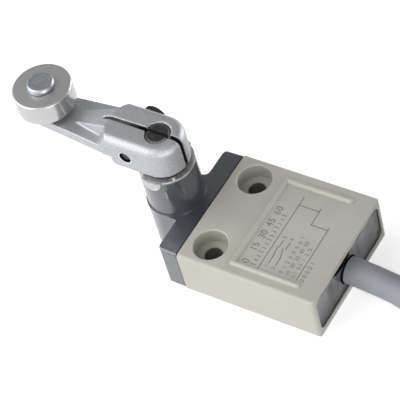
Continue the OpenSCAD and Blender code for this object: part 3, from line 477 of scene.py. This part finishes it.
def away_from(tree, coords, place, stretch):
    """How far a point is from a place, with each direction stretched or left out."""
    offset = tree.nodes.new("ShaderNodeVectorMath")
    offset.operation = "MULTIPLY_ADD"
    offset.inputs[1].default_value = stretch
    offset.inputs[2].default_value = tuple(-c * k for c, k in zip(place, stretch))
    tree.links.new(coords, offset.inputs[0])
    reach = tree.nodes.new("ShaderNodeVectorMath")
    reach.operation = "LENGTH"
    tree.links.new(offset.outputs["Vector"], reach.inputs[0])
    return reach.outputs["Value"]

def wear_and_painted_light_to(tree, shader, shade, where, colour):
    """Another colour shows through the first where a mask says so, used for wear and for painted light and
    shade.
    """
    layer = tree.nodes.new("ShaderNodeMix")
    layer.data_type = "RGBA"
    layer.inputs["B"].default_value = (*colour, 1.0)
    tree.links.new(where, layer.inputs["Factor"])
    tree.links.new(shade, layer.inputs["A"])
    tree.links.new(layer.outputs["Result"], shader.inputs["Base Color"])
    return layer.outputs["Result"]

# The paint in and round the through bores is darker: painted shade in the holes.
both_sides = tree.nodes.new("ShaderNodeVectorMath")
both_sides.operation = "ABSOLUTE"
tree.links.new(coords, both_sides.inputs[0])
from_hole = away_from(tree, both_sides.outputs["Vector"], (mount_x, 0.0, 0.0), (1.0, 1.0, 0.0))
wear_and_painted_light_to(tree, shader, shade, fade(tree, from_hole, hole_r + bore_painted_shade, hole_r), (0.16, 0.155, 0.14))
painted_case = shaped("painted_case", eased_copy("case", 0.0003), case_paint, "case",
                      machined=True)
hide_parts("case")
dress(case_paint, "case")

# Label print: dark grey ink pad-printed inside the raised frame: a scale of degrees, rules, a contact
# sketch and plain numbers. It is a film 0.02 mm thick on the paint.
ink_z, ink_t, line_w = 0.0158, 0.00002, 0.00026
figure_share = 0.7
label_ink, tree, shader, coords = finish_of("label_ink", (0.18, 0.17, 0.18), 0.55)
mottle(tree, shader, coords, (0.16, 0.15, 0.16), (0.22, 0.21, 0.215), 1800)
prints = bmesh.new()

def rule(x0, y0, x1, y1):
    """A printed line from one point to another, in metres on the front face."""
    way = Vector((x1 - x0, y1 - y0, 0.0))
    turn = Matrix.Rotation(math.atan2(way.y, way.x), 3, "Z")
    made = bmesh.ops.create_cube(prints, size=1.0)["verts"]
    bmesh.ops.scale(prints, verts=made, vec=(way.length + line_w, line_w, ink_t))
    bmesh.ops.rotate(prints, verts=made, cent=(0, 0, 0), matrix=turn)
    bmesh.ops.translate(prints, verts=made, vec=((x0 + x1) / 2, (y0 + y1) / 2, ink_z + ink_t / 2))

def figures(text, x, y, height):
    """Plain numbers from the left foot, in metres on the front face."""
    line = bpy.data.curves.new("figures", "FONT")
    line.body = text
    line.size = height / figure_share
    line.extrude = ink_t / 2
    carrier = bpy.data.objects.new("figures", line)
    bpy.context.collection.objects.link(carrier)
    drawn = bmesh.new()
    drawn.from_mesh(carrier.to_mesh())
    bmesh.ops.translate(drawn, verts=drawn.verts, vec=(x, y, ink_z + ink_t / 2))
    add_to(prints, drawn)
    bpy.data.objects.remove(carrier)

for x0, y0, x1, y1 in ((-14.5, -16.5, 12.0, -16.5), (-14.0, -28.3, 5.0, -28.3), (4.1, -23.0, 4.1, -28.3),
                       (4.1, -23.0, 10.0, -23.0), (9.0, -16.5, 9.0, -23.0)):
    rule(x0 / 1000, y0 / 1000, x1 / 1000, y1 / 1000)
for y in (-18.4, -20.6):
    rule(-0.0118, y / 1000, -0.0092, y / 1000)
    rule(-0.0060, y / 1000, -0.0036, y / 1000)
rule(-0.0092, -0.0184, -0.0059, -0.0180)
rule(-0.0092, -0.0206, -0.0062, -0.0197)
for k in range(13):
    tick_x = -0.0138 + 0.0015 * k
    rule(tick_x, -0.0152, tick_x, -0.0142 if k % 3 else -0.0136)
for k in range(5):
    figures(str(15 * k), -0.0143 + 0.0045 * k, -0.0130, 0.0021)
for text, x, y in (("1", -13.4, -18.9), ("2", -2.9, -18.9), ("3", -13.4, -21.1), ("4", -2.9, -21.1)):
    figures(text, x / 1000, y / 1000, 0.0013)
for k, text in enumerate(("0  1  2  3  4  5  6  7", "10  20  30  40  50", "0.1  0.5  1  2  5")):
    figures(text, -0.0138, -0.0237 - 0.0019 * k, 0.0012)
figures("0 0 0 0 1", -0.0142, -0.0305, 0.0014)
label_print = shaped("label_print", prints, label_ink, "case")

# Resin: dark grey compound poured into the cable end and set glossy. It creeps up the walls and the
# cable, and has sunk a little between the cable and the front wall.
resin_y = -0.0353
fill_x, fill_low, fill_high, fill_corner = 0.01797, 0.00173, 0.01407, 0.00197
film, wall_climb, wall_reach, front_climb, front_reach = 0.00012, 0.00040, 0.0007, 0.00042, 0.0028
sunk_x, sunk_z, sunk_wide, sunk_high, sunk_share = -0.0022, 0.0126, 0.0040, 0.0022, 0.95
hollow_x, hollow_z, hollow_wide, hollow_high = -0.0024, 0.0130, 0.0048, 0.0024
cable_r = cable_d / 2
resin, tree, shader, coords = finish_of("resin", (0.06, 0.062, 0.069), 0.14)
# Light streaks in the resin's colour are painted sheen.
sheen_streaks = tree.nodes.new("ShaderNodeMapping")
sheen_streaks.inputs["Scale"].default_value = (1.0, 1.0, 0.2)
tree.links.new(coords, sheen_streaks.inputs["Vector"])
shade = mottle(tree, shader, sheen_streaks.outputs["Vector"], (0.035, 0.036, 0.04),
               (0.19, 0.195, 0.21), 230, gloss=(0.10, 0.18))
shader.inputs["Specular IOR Level"].default_value = 0.8
# The resin is painted darker towards its foot: painted shade.
height = tree.nodes.new("ShaderNodeSeparateXYZ")
tree.links.new(coords, height.inputs["Vector"])
painted_shade_low = fade(tree, height.outputs["Z"], 0.010, 0.0025)
wear_and_painted_light_to(tree, shader, shade, painted_shade_low, (0.035, 0.036, 0.04))
# A near-black finish without gloss for the sunk patch, a strip along the walls and a collar round the
# cable: painted shadow.
resin_painted_shadow, tree, shader, coords = finish_of("resin_painted_shadow", (0.004, 0.004, 0.0045), 0.8)
mottle(tree, shader, coords, (0.003, 0.003, 0.0035), (0.006, 0.006, 0.0065), 900)
shader.inputs["Specular IOR Level"].default_value = 0.05
dress(resin, "potting")
skin = bmesh.new()
bmesh.ops.create_grid(skin, x_segments=120, y_segments=42, size=0.5)
bmesh.ops.scale(skin, verts=skin.verts, vec=(2 * fill_x, fill_high - fill_low, 1.0))
bmesh.ops.rotate(skin, verts=skin.verts, cent=(0, 0, 0), matrix=upright_turn)
bmesh.ops.translate(skin, verts=skin.verts, vec=(0.0, resin_y, (fill_low + fill_high) / 2))

def in_hollow(place):
    """1 on the outline of the sunk patch, less inside it."""
    return math.hypot((place.x - hollow_x) / hollow_wide, (place.z - hollow_z) / hollow_high)

# Faces at the walls and in the sunk patch take the painted shadow finish.
for face in skin.faces:
    at_wall = any(edge.is_boundary for edge in face.edges)
    face.material_index = 1 if at_wall or in_hollow(face.calc_center_median()) < 1 else 0
inside = [f for f in skin.faces
          if (Vector(f.calc_center_median().xz) - Vector(cable_exit.xz)).length < cable_r]
bmesh.ops.delete(skin, geom=inside, context="FACES")
for vert in skin.verts:
    from_cable = Vector((vert.co.x - cable_exit.x, 0.0, vert.co.z - cable_exit.z))
    size = in_hollow(vert.co)
    at_outline = abs(size - 1) * hollow_high < 0.0003
    between = len({face.material_index for face in vert.link_faces}) == 2
    if vert.is_boundary and from_cable.length < cable_r + 0.0006:
        from_cable *= (cable_r - 0.0001) / from_cable.length
        vert.co.x, vert.co.z = cable_exit.x + from_cable.x, cable_exit.z + from_cable.z
    elif at_outline and between and not vert.is_boundary:
        vert.co.x = hollow_x + (vert.co.x - hollow_x) / size
        vert.co.z = hollow_z + (vert.co.z - hollow_z) / size
for vert in skin.verts:
    x, z = vert.co.x, vert.co.z
    core_x = min(max(x, -fill_x + fill_corner), fill_x - fill_corner)
    core_z = min(max(z, fill_low + fill_corner), fill_high - fill_corner)
    out = Vector((x - core_x, z - core_z))
    if out.length > fill_corner:
        out = out.normalized() * fill_corner
        x, z = core_x + out.x, core_z + out.y
    to_wall = max(fill_corner - out.length, 0.0) if out.length else fill_corner
    to_wall = min(to_wall if x != core_x and z != core_z else 1.0,
                  fill_x - abs(x), z - fill_low, fill_high - z)
    sunk = math.exp(-((x - sunk_x) / sunk_wide) ** 2 - ((z - sunk_z) / sunk_high) ** 2)
    climb = wall_climb * math.exp(-to_wall / wall_reach) \
        + front_climb * math.exp(-(fill_high - z) / front_reach)
    wave = 0.00005 * math.sin(x * 900 + 1.3) + 0.00004 * math.sin(x * 520 + z * 800)
    vert.co = (x, resin_y - film - (climb + wave) * (1 - sunk_share * sunk), z)
rim = bmesh.ops.extrude_edge_only(skin, edges=[e for e in skin.edges if e.is_boundary])["geom"]
for vert in rim:
    if isinstance(vert, bmesh.types.BMVert):
        vert.co.y = resin_y + 0.00005
flat_faces = set(skin.faces)
lathe(skin, [(cable_r + 0.0004, 0.0), (cable_r + 0.00034, -0.0002), (cable_r + 0.0002, -0.00036),
             (cable_r + 0.00008, -0.00056), (cable_r - 0.00012, -0.0009)],
      (cable_exit.x, resin_y, cable_exit.z), "Y", 64)
# The collar round the cable takes the painted shadow finish too.
for face in set(skin.faces) - flat_faces:
    face.material_index = 1
bmesh.ops.recalc_face_normals(skin, faces=skin.faces)
resin_face = shaped("resin_face", skin, resin, "case", sharp=60.0)
resin_face.data.materials.append(resin_painted_shadow)

# Head: a second die casting in dark blue-grey gloss paint, with the neck that carries the shaft. It
# is held over the end of the case, on a black gasket, by two socket screws from the far side.
head_x, band_y, corner_reach, corner_grow, end_out = 0.019, 0.0136, 0.00101, 1.7, 0.0004
inner_x, inner_r, inner_keep, spare = -0.0086, 0.0018, 0.2, 0.0002
rib_z, rib_squeeze, rib_edge, rib_half = 0.0249, 0.17, 0.00036, 0.00030
head_paint, tree, shader, coords = finish_of("head_paint", (0.025, 0.029, 0.042), 0.3)
shade = mottle(tree, shader, coords, (0.023, 0.027, 0.039), (0.028, 0.032, 0.046), 90, gloss=(0.26, 0.34))
grain(tree, shader, coords, 3000, 0.00002)
shader.inputs["Specular IOR Level"].default_value = 1.0
shader.inputs["Specular Tint"].default_value = (0.90, 0.92, 1.0, 1.0)
# Two short upright pale streaks on the neck are painted highlights.
for rib_x, rib_y, highlight_grey in ((-0.00766, 0.01518, 0.17), (-0.00423, 0.01143, 0.07)):
    from_rib = away_from(tree, coords, (rib_x, rib_y, rib_z), (1.0, 1.0, rib_squeeze))
    shade = wear_and_painted_light_to(tree, shader, shade, fade(tree, from_rib, rib_edge, rib_half), (highlight_grey, highlight_grey, 1.1 * highlight_grey))
shader.inputs["Coat Weight"].default_value = 1.0
shader.inputs["Coat Roughness"].default_value = 0.22
shader.inputs["Coat IOR"].default_value = 1.8
head_build = eased_copy("head", 0.00012)
for side in (-1, 1):
    corner = [v for v in head_build.verts
              if side * v.co.x > head_x - corner_reach and v.co.y > band_y - corner_reach]
    bmesh.ops.scale(head_build, verts=corner, vec=(corner_grow, corner_grow, 1.0),
                    space=Matrix.Translation((-side * head_x, -band_y, 0.0)))
    end = [v for v in head_build.verts if side * v.co.x > head_x - corner_reach]
    bmesh.ops.translate(head_build, verts=end, vec=(side * end_out, 0.0, 0.0))
inner = [v for v in head_build.verts if inner_x - inner_r - spare < v.co.x < inner_x + spare
         and band_y - spare < v.co.y < band_y + inner_r + spare]
bmesh.ops.scale(head_build, verts=inner, vec=(inner_keep, inner_keep, 1.0),
                space=Matrix.Translation((-inner_x, -band_y, 0.0)))
painted_head = shaped("painted_head", head_build, head_paint, "case", machined=True)
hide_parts("head")
dress(head_paint, "head")

seal_rubber, tree, shader, coords = finish_of("seal_rubber", (0.018, 0.018, 0.02), 0.7)
mottle(tree, shader, coords, (0.016, 0.016, 0.018), (0.026, 0.026, 0.028), 400)
grain(tree, shader, coords, 4000, 0.00002)
dress(seal_rubber, "head_gasket", "shaft_seal", "plunger_seal")

black_oxide, tree, shader, coords = finish_of("black_oxide", (0.05, 0.05, 0.054), 0.36, 0.7)
mottle(tree, shader, coords, (0.035, 0.035, 0.038), (0.07, 0.068, 0.068), 1400, gloss=(0.28, 0.46))
dress(black_oxide, "head_screws", "retaining_ring")
socket_screws = shaped("socket_screws", eased_copy("head_screws", 0.00015), black_oxide, "case",
                       machined=True)
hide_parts("head_screws")

# Plunger, spring and bush: turned and wound steel under the shaft, and the sintered bronze bush that
# the shaft runs in. All of it is closed in by the head.
def turned_rings(tree, shader, coords, place, direction, scale, depth):
    """Fine rings left by the lathe, round an axis through a place."""
    centred = tree.nodes.new("ShaderNodeMapping")
    centred.inputs["Location"].default_value = tuple(-c for c in place)
    tree.links.new(coords, centred.inputs["Vector"])
    rings = tree.nodes.new("ShaderNodeTexWave")
    rings.wave_type = "RINGS"
    rings.rings_direction = direction
    rings.inputs["Scale"].default_value = scale
    rings.inputs["Distortion"].default_value = 0.6
    rings.inputs["Detail"].default_value = 2.0
    tree.links.new(centred.outputs["Vector"], rings.inputs["Vector"])
    bump = tree.nodes.new("ShaderNodeBump")
    bump.inputs["Distance"].default_value = depth
    tree.links.new(rings.outputs["Fac"], bump.inputs["Height"])
    tree.links.new(bump.outputs["Normal"], shader.inputs["Normal"])

inner_steel, tree, shader, coords = finish_of("inner_steel", (0.52, 0.52, 0.51), 0.28, 1.0)
mottle(tree, shader, coords, (0.48, 0.48, 0.47), (0.56, 0.56, 0.55), 700, gloss=(0.22, 0.36))
turned_rings(tree, shader, coords, (0.0, 0.0, mech_z), "Y", 900, 0.000004)
dress(inner_steel, "plunger", "plunger_spring", "earth_screw")
wound_spring = shaped("wound_spring", merged_copy("plunger_spring"), inner_steel, "case",
                      sharp=60.0)
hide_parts("plunger_spring")
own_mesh(wound_spring)
bush_bronze, tree, shader, coords = finish_of("bush_bronze", (0.42, 0.26, 0.09), 0.45, 1.0)
mottle(tree, shader, coords, (0.36, 0.21, 0.07), (0.46, 0.29, 0.11), 2200)
grain(tree, shader, coords, 6000, 0.00002)
dress(bush_bronze, "shaft_bush")

# Marking plate: thin pressed steel ring on top of the neck, held by two ears bent down over its edge,
# with small raised marks that show how the lever is set.
plate_steel, tree, shader, coords = finish_of("plate_steel", (0.60, 0.60, 0.61), 0.42, 0.8)
mottle(tree, shader, coords, (0.52, 0.52, 0.52), (0.66, 0.66, 0.67), 900, gloss=(0.34, 0.50))
grain(tree, shader, coords, 1500, 0.00003)
pressed_plate = shaped("pressed_plate", eased_copy("marking_plate", 0.00012), plate_steel, "case",
                       machined=True)
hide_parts("marking_plate")
dress(plate_steel, "marking_plate")

# Shaft: ground steel, blackened. Its end shows in the lever's bore, with a driver slot and a bevel
# that carries the serrations the clamp bites into.
shaft_y, shaft_r, serrations = 0.01875, 0.0038, 44
shaft_black, tree, shader, coords = finish_of("shaft_black", (0.072, 0.071, 0.074), 0.34, 0.85)
shade = mottle(tree, shader, coords, (0.053, 0.052, 0.055), (0.097, 0.096, 0.1), 1600, gloss=(0.28, 0.44))
centred = tree.nodes.new("ShaderNodeMapping")
centred.inputs["Location"].default_value = (0.0, -shaft_y, 0.0)
tree.links.new(coords, centred.inputs["Vector"])
around = tree.nodes.new("ShaderNodeTexGradient")
around.gradient_type = "RADIAL"
tree.links.new(centred.outputs["Vector"], around.inputs["Vector"])
teeth = tree.nodes.new("ShaderNodeMath")
teeth.operation = "MULTIPLY"
teeth.inputs[1].default_value = 2 * math.pi * serrations
tree.links.new(around.outputs["Fac"], teeth.inputs[0])
ridge = tree.nodes.new("ShaderNodeMath")
ridge.operation = "SINE"
tree.links.new(teeth.outputs[0], ridge.inputs[0])

def only_where(tree, value, mask):
    """A value kept where a mask is 1 and gone where it is 0."""
    product = tree.nodes.new("ShaderNodeMath")
    product.operation = "MULTIPLY"
    tree.links.new(value, product.inputs[0])
    tree.links.new(mask, product.inputs[1])
    return product.outputs[0]

from_axis = away_from(tree, coords, (0.0, shaft_y, 0.0), (1.0, 1.0, 0.0))
serrated = only_where(tree, ridge.outputs[0], fade(tree, from_axis, shaft_r - 0.0009, shaft_r - 0.0006))
bump = tree.nodes.new("ShaderNodeBump")
bump.inputs["Distance"].default_value = 0.00012
tree.links.new(serrated, bump.inputs["Height"])
tree.links.new(bump.outputs["Normal"], shader.inputs["Normal"])
# The serration crests are painted pale: bare steel where the black is rubbed off, and painted glints on the
# bevel.
wear_and_painted_light_to(tree, shader, shade, fade(tree, serrated, 0.2, 0.9), (0.62, 0.61, 0.60))
ground_shaft = shaped("ground_shaft", eased_copy("shaft", 0.00006), shaft_black, "lever",
                      machined=True)
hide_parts("shaft")
dress(shaft_black, "shaft")

# Lever: a die casting left bare, with soft edges and the grain of the die. The hub is slit so that the
# clamp screw can close it on the shaft. The slit and the inside of the tapped hole are painted dark as
# painted shade, and painted highlights stand at the slit's blind end and round the tapped hole.
slit_half, slit_end, slit_grey, slit_dark = 0.00055, 0.03695, 0.006, 0.012
glint_out, glint_in, blind_run, blind_share = 0.0006, 0.0003, 0.002, 0.6
clamp_y, clamp_z, tapped_r = 0.02635, 0.03605, 0.00177
lever_cast, tree, shader, coords = finish_of("lever_cast", (0.53, 0.54, 0.575), 0.46, 0.9)
shade = mottle(tree, shader, coords, (0.45, 0.46, 0.49), (0.60, 0.61, 0.645), 2600, 2.0, gloss=(0.38, 0.54))
grain(tree, shader, coords, 2800, 0.00012, 3.0)
along = tree.nodes.new("ShaderNodeSeparateXYZ")
tree.links.new(coords, along.inputs["Vector"])
off_middle = away_from(tree, coords, (0.0, 0.0, 0.0), (1.0, 0.0, 0.0))
# The slit's walls and a thin edge beside it are painted dark: painted shade.
slit_shadow = only_where(tree, fade(tree, off_middle, slit_half + 0.00012, slit_half + 0.00004),
                     fade(tree, along.outputs["Y"], slit_end - slit_grey, slit_end - slit_dark))
shade = wear_and_painted_light_to(tree, shader, shade, slit_shadow, (0.07, 0.07, 0.075))
# A pale spot at the slit's blind end: a painted highlight.
from_end = away_from(tree, coords, (0.0, slit_end, 0.0), (1.0, 1.0, 0.0))
shade = wear_and_painted_light_to(tree, shader, shade, fade(tree, from_end, glint_out, glint_in), (0.88, 0.89, 0.91))
# A pale ring round the tapped hole is a painted highlight.
from_screw = away_from(tree, coords, (0.0, clamp_y, clamp_z), (0.0, 1.0, 1.0))
rim_highlight = fade(tree, from_screw, tapped_r + 0.0004, tapped_r + 0.0003)
shade = wear_and_painted_light_to(tree, shader, shade, rim_highlight, (0.85, 0.86, 0.88))
# The inside of the tapped hole is painted near black: painted shade.
hole_shadow = fade(tree, from_screw, tapped_r + 0.00014, tapped_r + 0.00006)
wear_and_painted_light_to(tree, shader, shade, hole_shadow, (0.02, 0.02, 0.022))
dress(lever_cast, "lever_arm")
lever_skin = merged_copy("lever_arm")
blind_end = [v for v in lever_skin.verts
             if abs(v.co.x) < slit_half + 0.00001 and v.co.y > slit_end - blind_run]
bmesh.ops.scale(lever_skin, verts=blind_end, vec=(blind_share, 1.0, 1.0))
cast_lever = shaped("cast_lever", lever_skin, lever_cast, "lever")
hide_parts("lever_arm")
rounding = cast_lever.modifiers.new("even_mesh", "REMESH")
rounding.mode = "VOXEL"
rounding.voxel_size = 0.0002
rounding.use_smooth_shade = True
softening = cast_lever.modifiers.new("soft_edges", "SMOOTH")
softening.factor = 0.5
softening.iterations = 6

# Clamp screw: black socket screw M4, its knurled head let into the far ear of the hub over a washer,
# its thread cut into the near ear.
head_in, head_out, head_r, knurl_points, knurl_share = 0.0057, 0.0097, 0.0035, 80, 0.955
screw_tip, tip_r, shank_from, shank_r = -0.0069, 0.0013, 0.0006, 0.00198
thread_pitch, thread_root, thread_crest = 0.0007, 0.00152, 0.00174
thread_foot = thread_root - 0.00004
thread_start, thread_turns, turn_steps = -0.0065, 9, 32
key_r, key_deep, crown = 0.00173, 0.002, 0.00022
screw = bmesh.new()
lathe(screw, [(0, screw_tip), (tip_r, screw_tip), (thread_root, -0.0066), (thread_root, shank_from),
              (shank_r, shank_from), (shank_r, head_in), (0, head_in)], (0.0, clamp_y, clamp_z), "X", 32)
thread = bmesh.new()
flank = [thread.verts.new((thread_start + dx, clamp_y, clamp_z + r)) for dx, r in
         ((0.0, thread_foot), (0.0003, thread_crest), (0.0004, thread_crest), (0.0007, thread_foot))]
for a, b in zip(flank, flank[1:]):
    thread.edges.new((a, b))
bmesh.ops.spin(thread, geom=thread.verts[:] + thread.edges[:], cent=(0, clamp_y, clamp_z), axis=(1, 0, 0),
               dvec=(thread_pitch / turn_steps, 0, 0), angle=2 * math.pi * thread_turns,
               steps=turn_steps * thread_turns)
bmesh.ops.remove_doubles(thread, verts=thread.verts, dist=0.000002)
bmesh.ops.recalc_face_normals(thread, faces=thread.faces)
add_to(screw, thread)
cap = bmesh.new()
knurl = bmesh.ops.create_cone(cap, cap_ends=True, segments=knurl_points, radius1=head_r, radius2=head_r,
                              depth=head_out - head_in)["verts"]
for vert in knurl:
    if round(math.atan2(vert.co.y, vert.co.x) / (2 * math.pi / knurl_points)) % 2:
        vert.co.x *= knurl_share
        vert.co.y *= knurl_share
top = max(cap.faces, key=lambda f: f.calc_center_median().z)
bmesh.ops.inset_region(cap, faces=[top], thickness=0.0003, depth=crown)
bmesh.ops.inset_region(cap, faces=[top], thickness=0.0004)
lip = list(top.edges)
bmesh.ops.delete(cap, geom=[top], context="FACES_ONLY")
key = bmesh.ops.create_circle(cap, cap_ends=False, segments=6, radius=key_r)["verts"]
bmesh.ops.translate(cap, verts=key, vec=(0, 0, max(v.co.z for v in cap.verts)))
key_edges = list({e for v in key for e in v.link_edges})
bmesh.ops.bridge_loops(cap, edges=lip + key_edges)
socket = bmesh.ops.extrude_edge_only(cap, edges=key_edges)["geom"]
floor_verts = [v for v in socket if isinstance(v, bmesh.types.BMVert)]
bmesh.ops.translate(cap, verts=floor_verts, vec=(0, 0, -key_deep))
bmesh.ops.holes_fill(cap, edges=[e for e in cap.edges if e.is_boundary], sides=0)
bmesh.ops.recalc_face_normals(cap, faces=cap.faces)
seat = Matrix.Translation(((head_in + head_out) / 2 - crown / 2, clamp_y, clamp_z))
bmesh.ops.transform(cap, verts=cap.verts, matrix=seat @ Matrix.Rotation(math.pi / 2, 4, "Y"))
add_to(screw, cap)
knurled_screw = shaped("knurled_screw", screw, black_oxide, "lever", sharp=22.0)
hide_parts("clamp_screw")
dress(black_oxide, "clamp_screw")

# Roller, pin and washers: turned steel. The roller's rim is ground bright, its faces keep the rings
# of the lathe, and the pin is riveted under the arm.
roller_place = (0.0, 0.05675, 0.0427)
roller_steel, tree, shader, coords = finish_of("roller_steel", (0.58, 0.58, 0.575), 0.3, 1.0)
mottle(tree, shader, coords, (0.565, 0.565, 0.56), (0.60, 0.60, 0.595), 1500)
turned_rings(tree, shader, coords, roller_place, "Z", 700, 0.000012)
upright = tree.nodes.new("ShaderNodeSeparateXYZ")
tree.links.new(coords.node.outputs["Normal"], upright.inputs["Vector"])
facing = tree.nodes.new("ShaderNodeMath")
facing.operation = "ABSOLUTE"
tree.links.new(upright.outputs["Z"], facing.inputs[0])
tree.links.new(fade(tree, facing.outputs[0], 0.0, 1.0, 0.2, 0.42), shader.inputs["Roughness"])
turned_roller = shaped("turned_roller", eased_copy("roller", 0.00015), roller_steel, "roller",
                       machined=True)
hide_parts("roller")
dress(roller_steel, "roller")

pin_steel, tree, shader, coords = finish_of("pin_steel", (0.50, 0.52, 0.56), 0.34, 1.0)
mottle(tree, shader, coords, (0.44, 0.46, 0.505), (0.54, 0.56, 0.60), 1200, gloss=(0.28, 0.42))
turned_rings(tree, shader, coords, roller_place, "Z", 500, 0.000008)
pin_foot, pin_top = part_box("roller_pin")[0].z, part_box("roller_pin")[1].z
pin = bmesh.new()
lathe(pin, [(0, pin_foot), (0.0028, pin_foot), (0.0033, pin_foot + 0.0002), (0.0036, pin_foot + 0.0008),
            (0.003, pin_foot + 0.0008), (0.003, pin_top - 0.0018), (0.0040, pin_top - 0.0018),
            (0.0041, pin_top - 0.0017), (0.0041, pin_top - 0.0011), (0.00405, pin_top - 0.0008),
            (0.00385, pin_top - 0.00035), (0.0036, pin_top - 0.00008), (0.0034, pin_top),
            (0.0031, pin_top - 0.00004), (0, pin_top - 0.00004)],
      (roller_place[0], roller_place[1], 0.0), "Z", 72)
riveted_pin = shaped("riveted_pin", pin, pin_steel, "lever", sharp=50.0)
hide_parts("roller_pin")
dress(pin_steel, "roller_pin", "roller_washer", "clamp_washer")
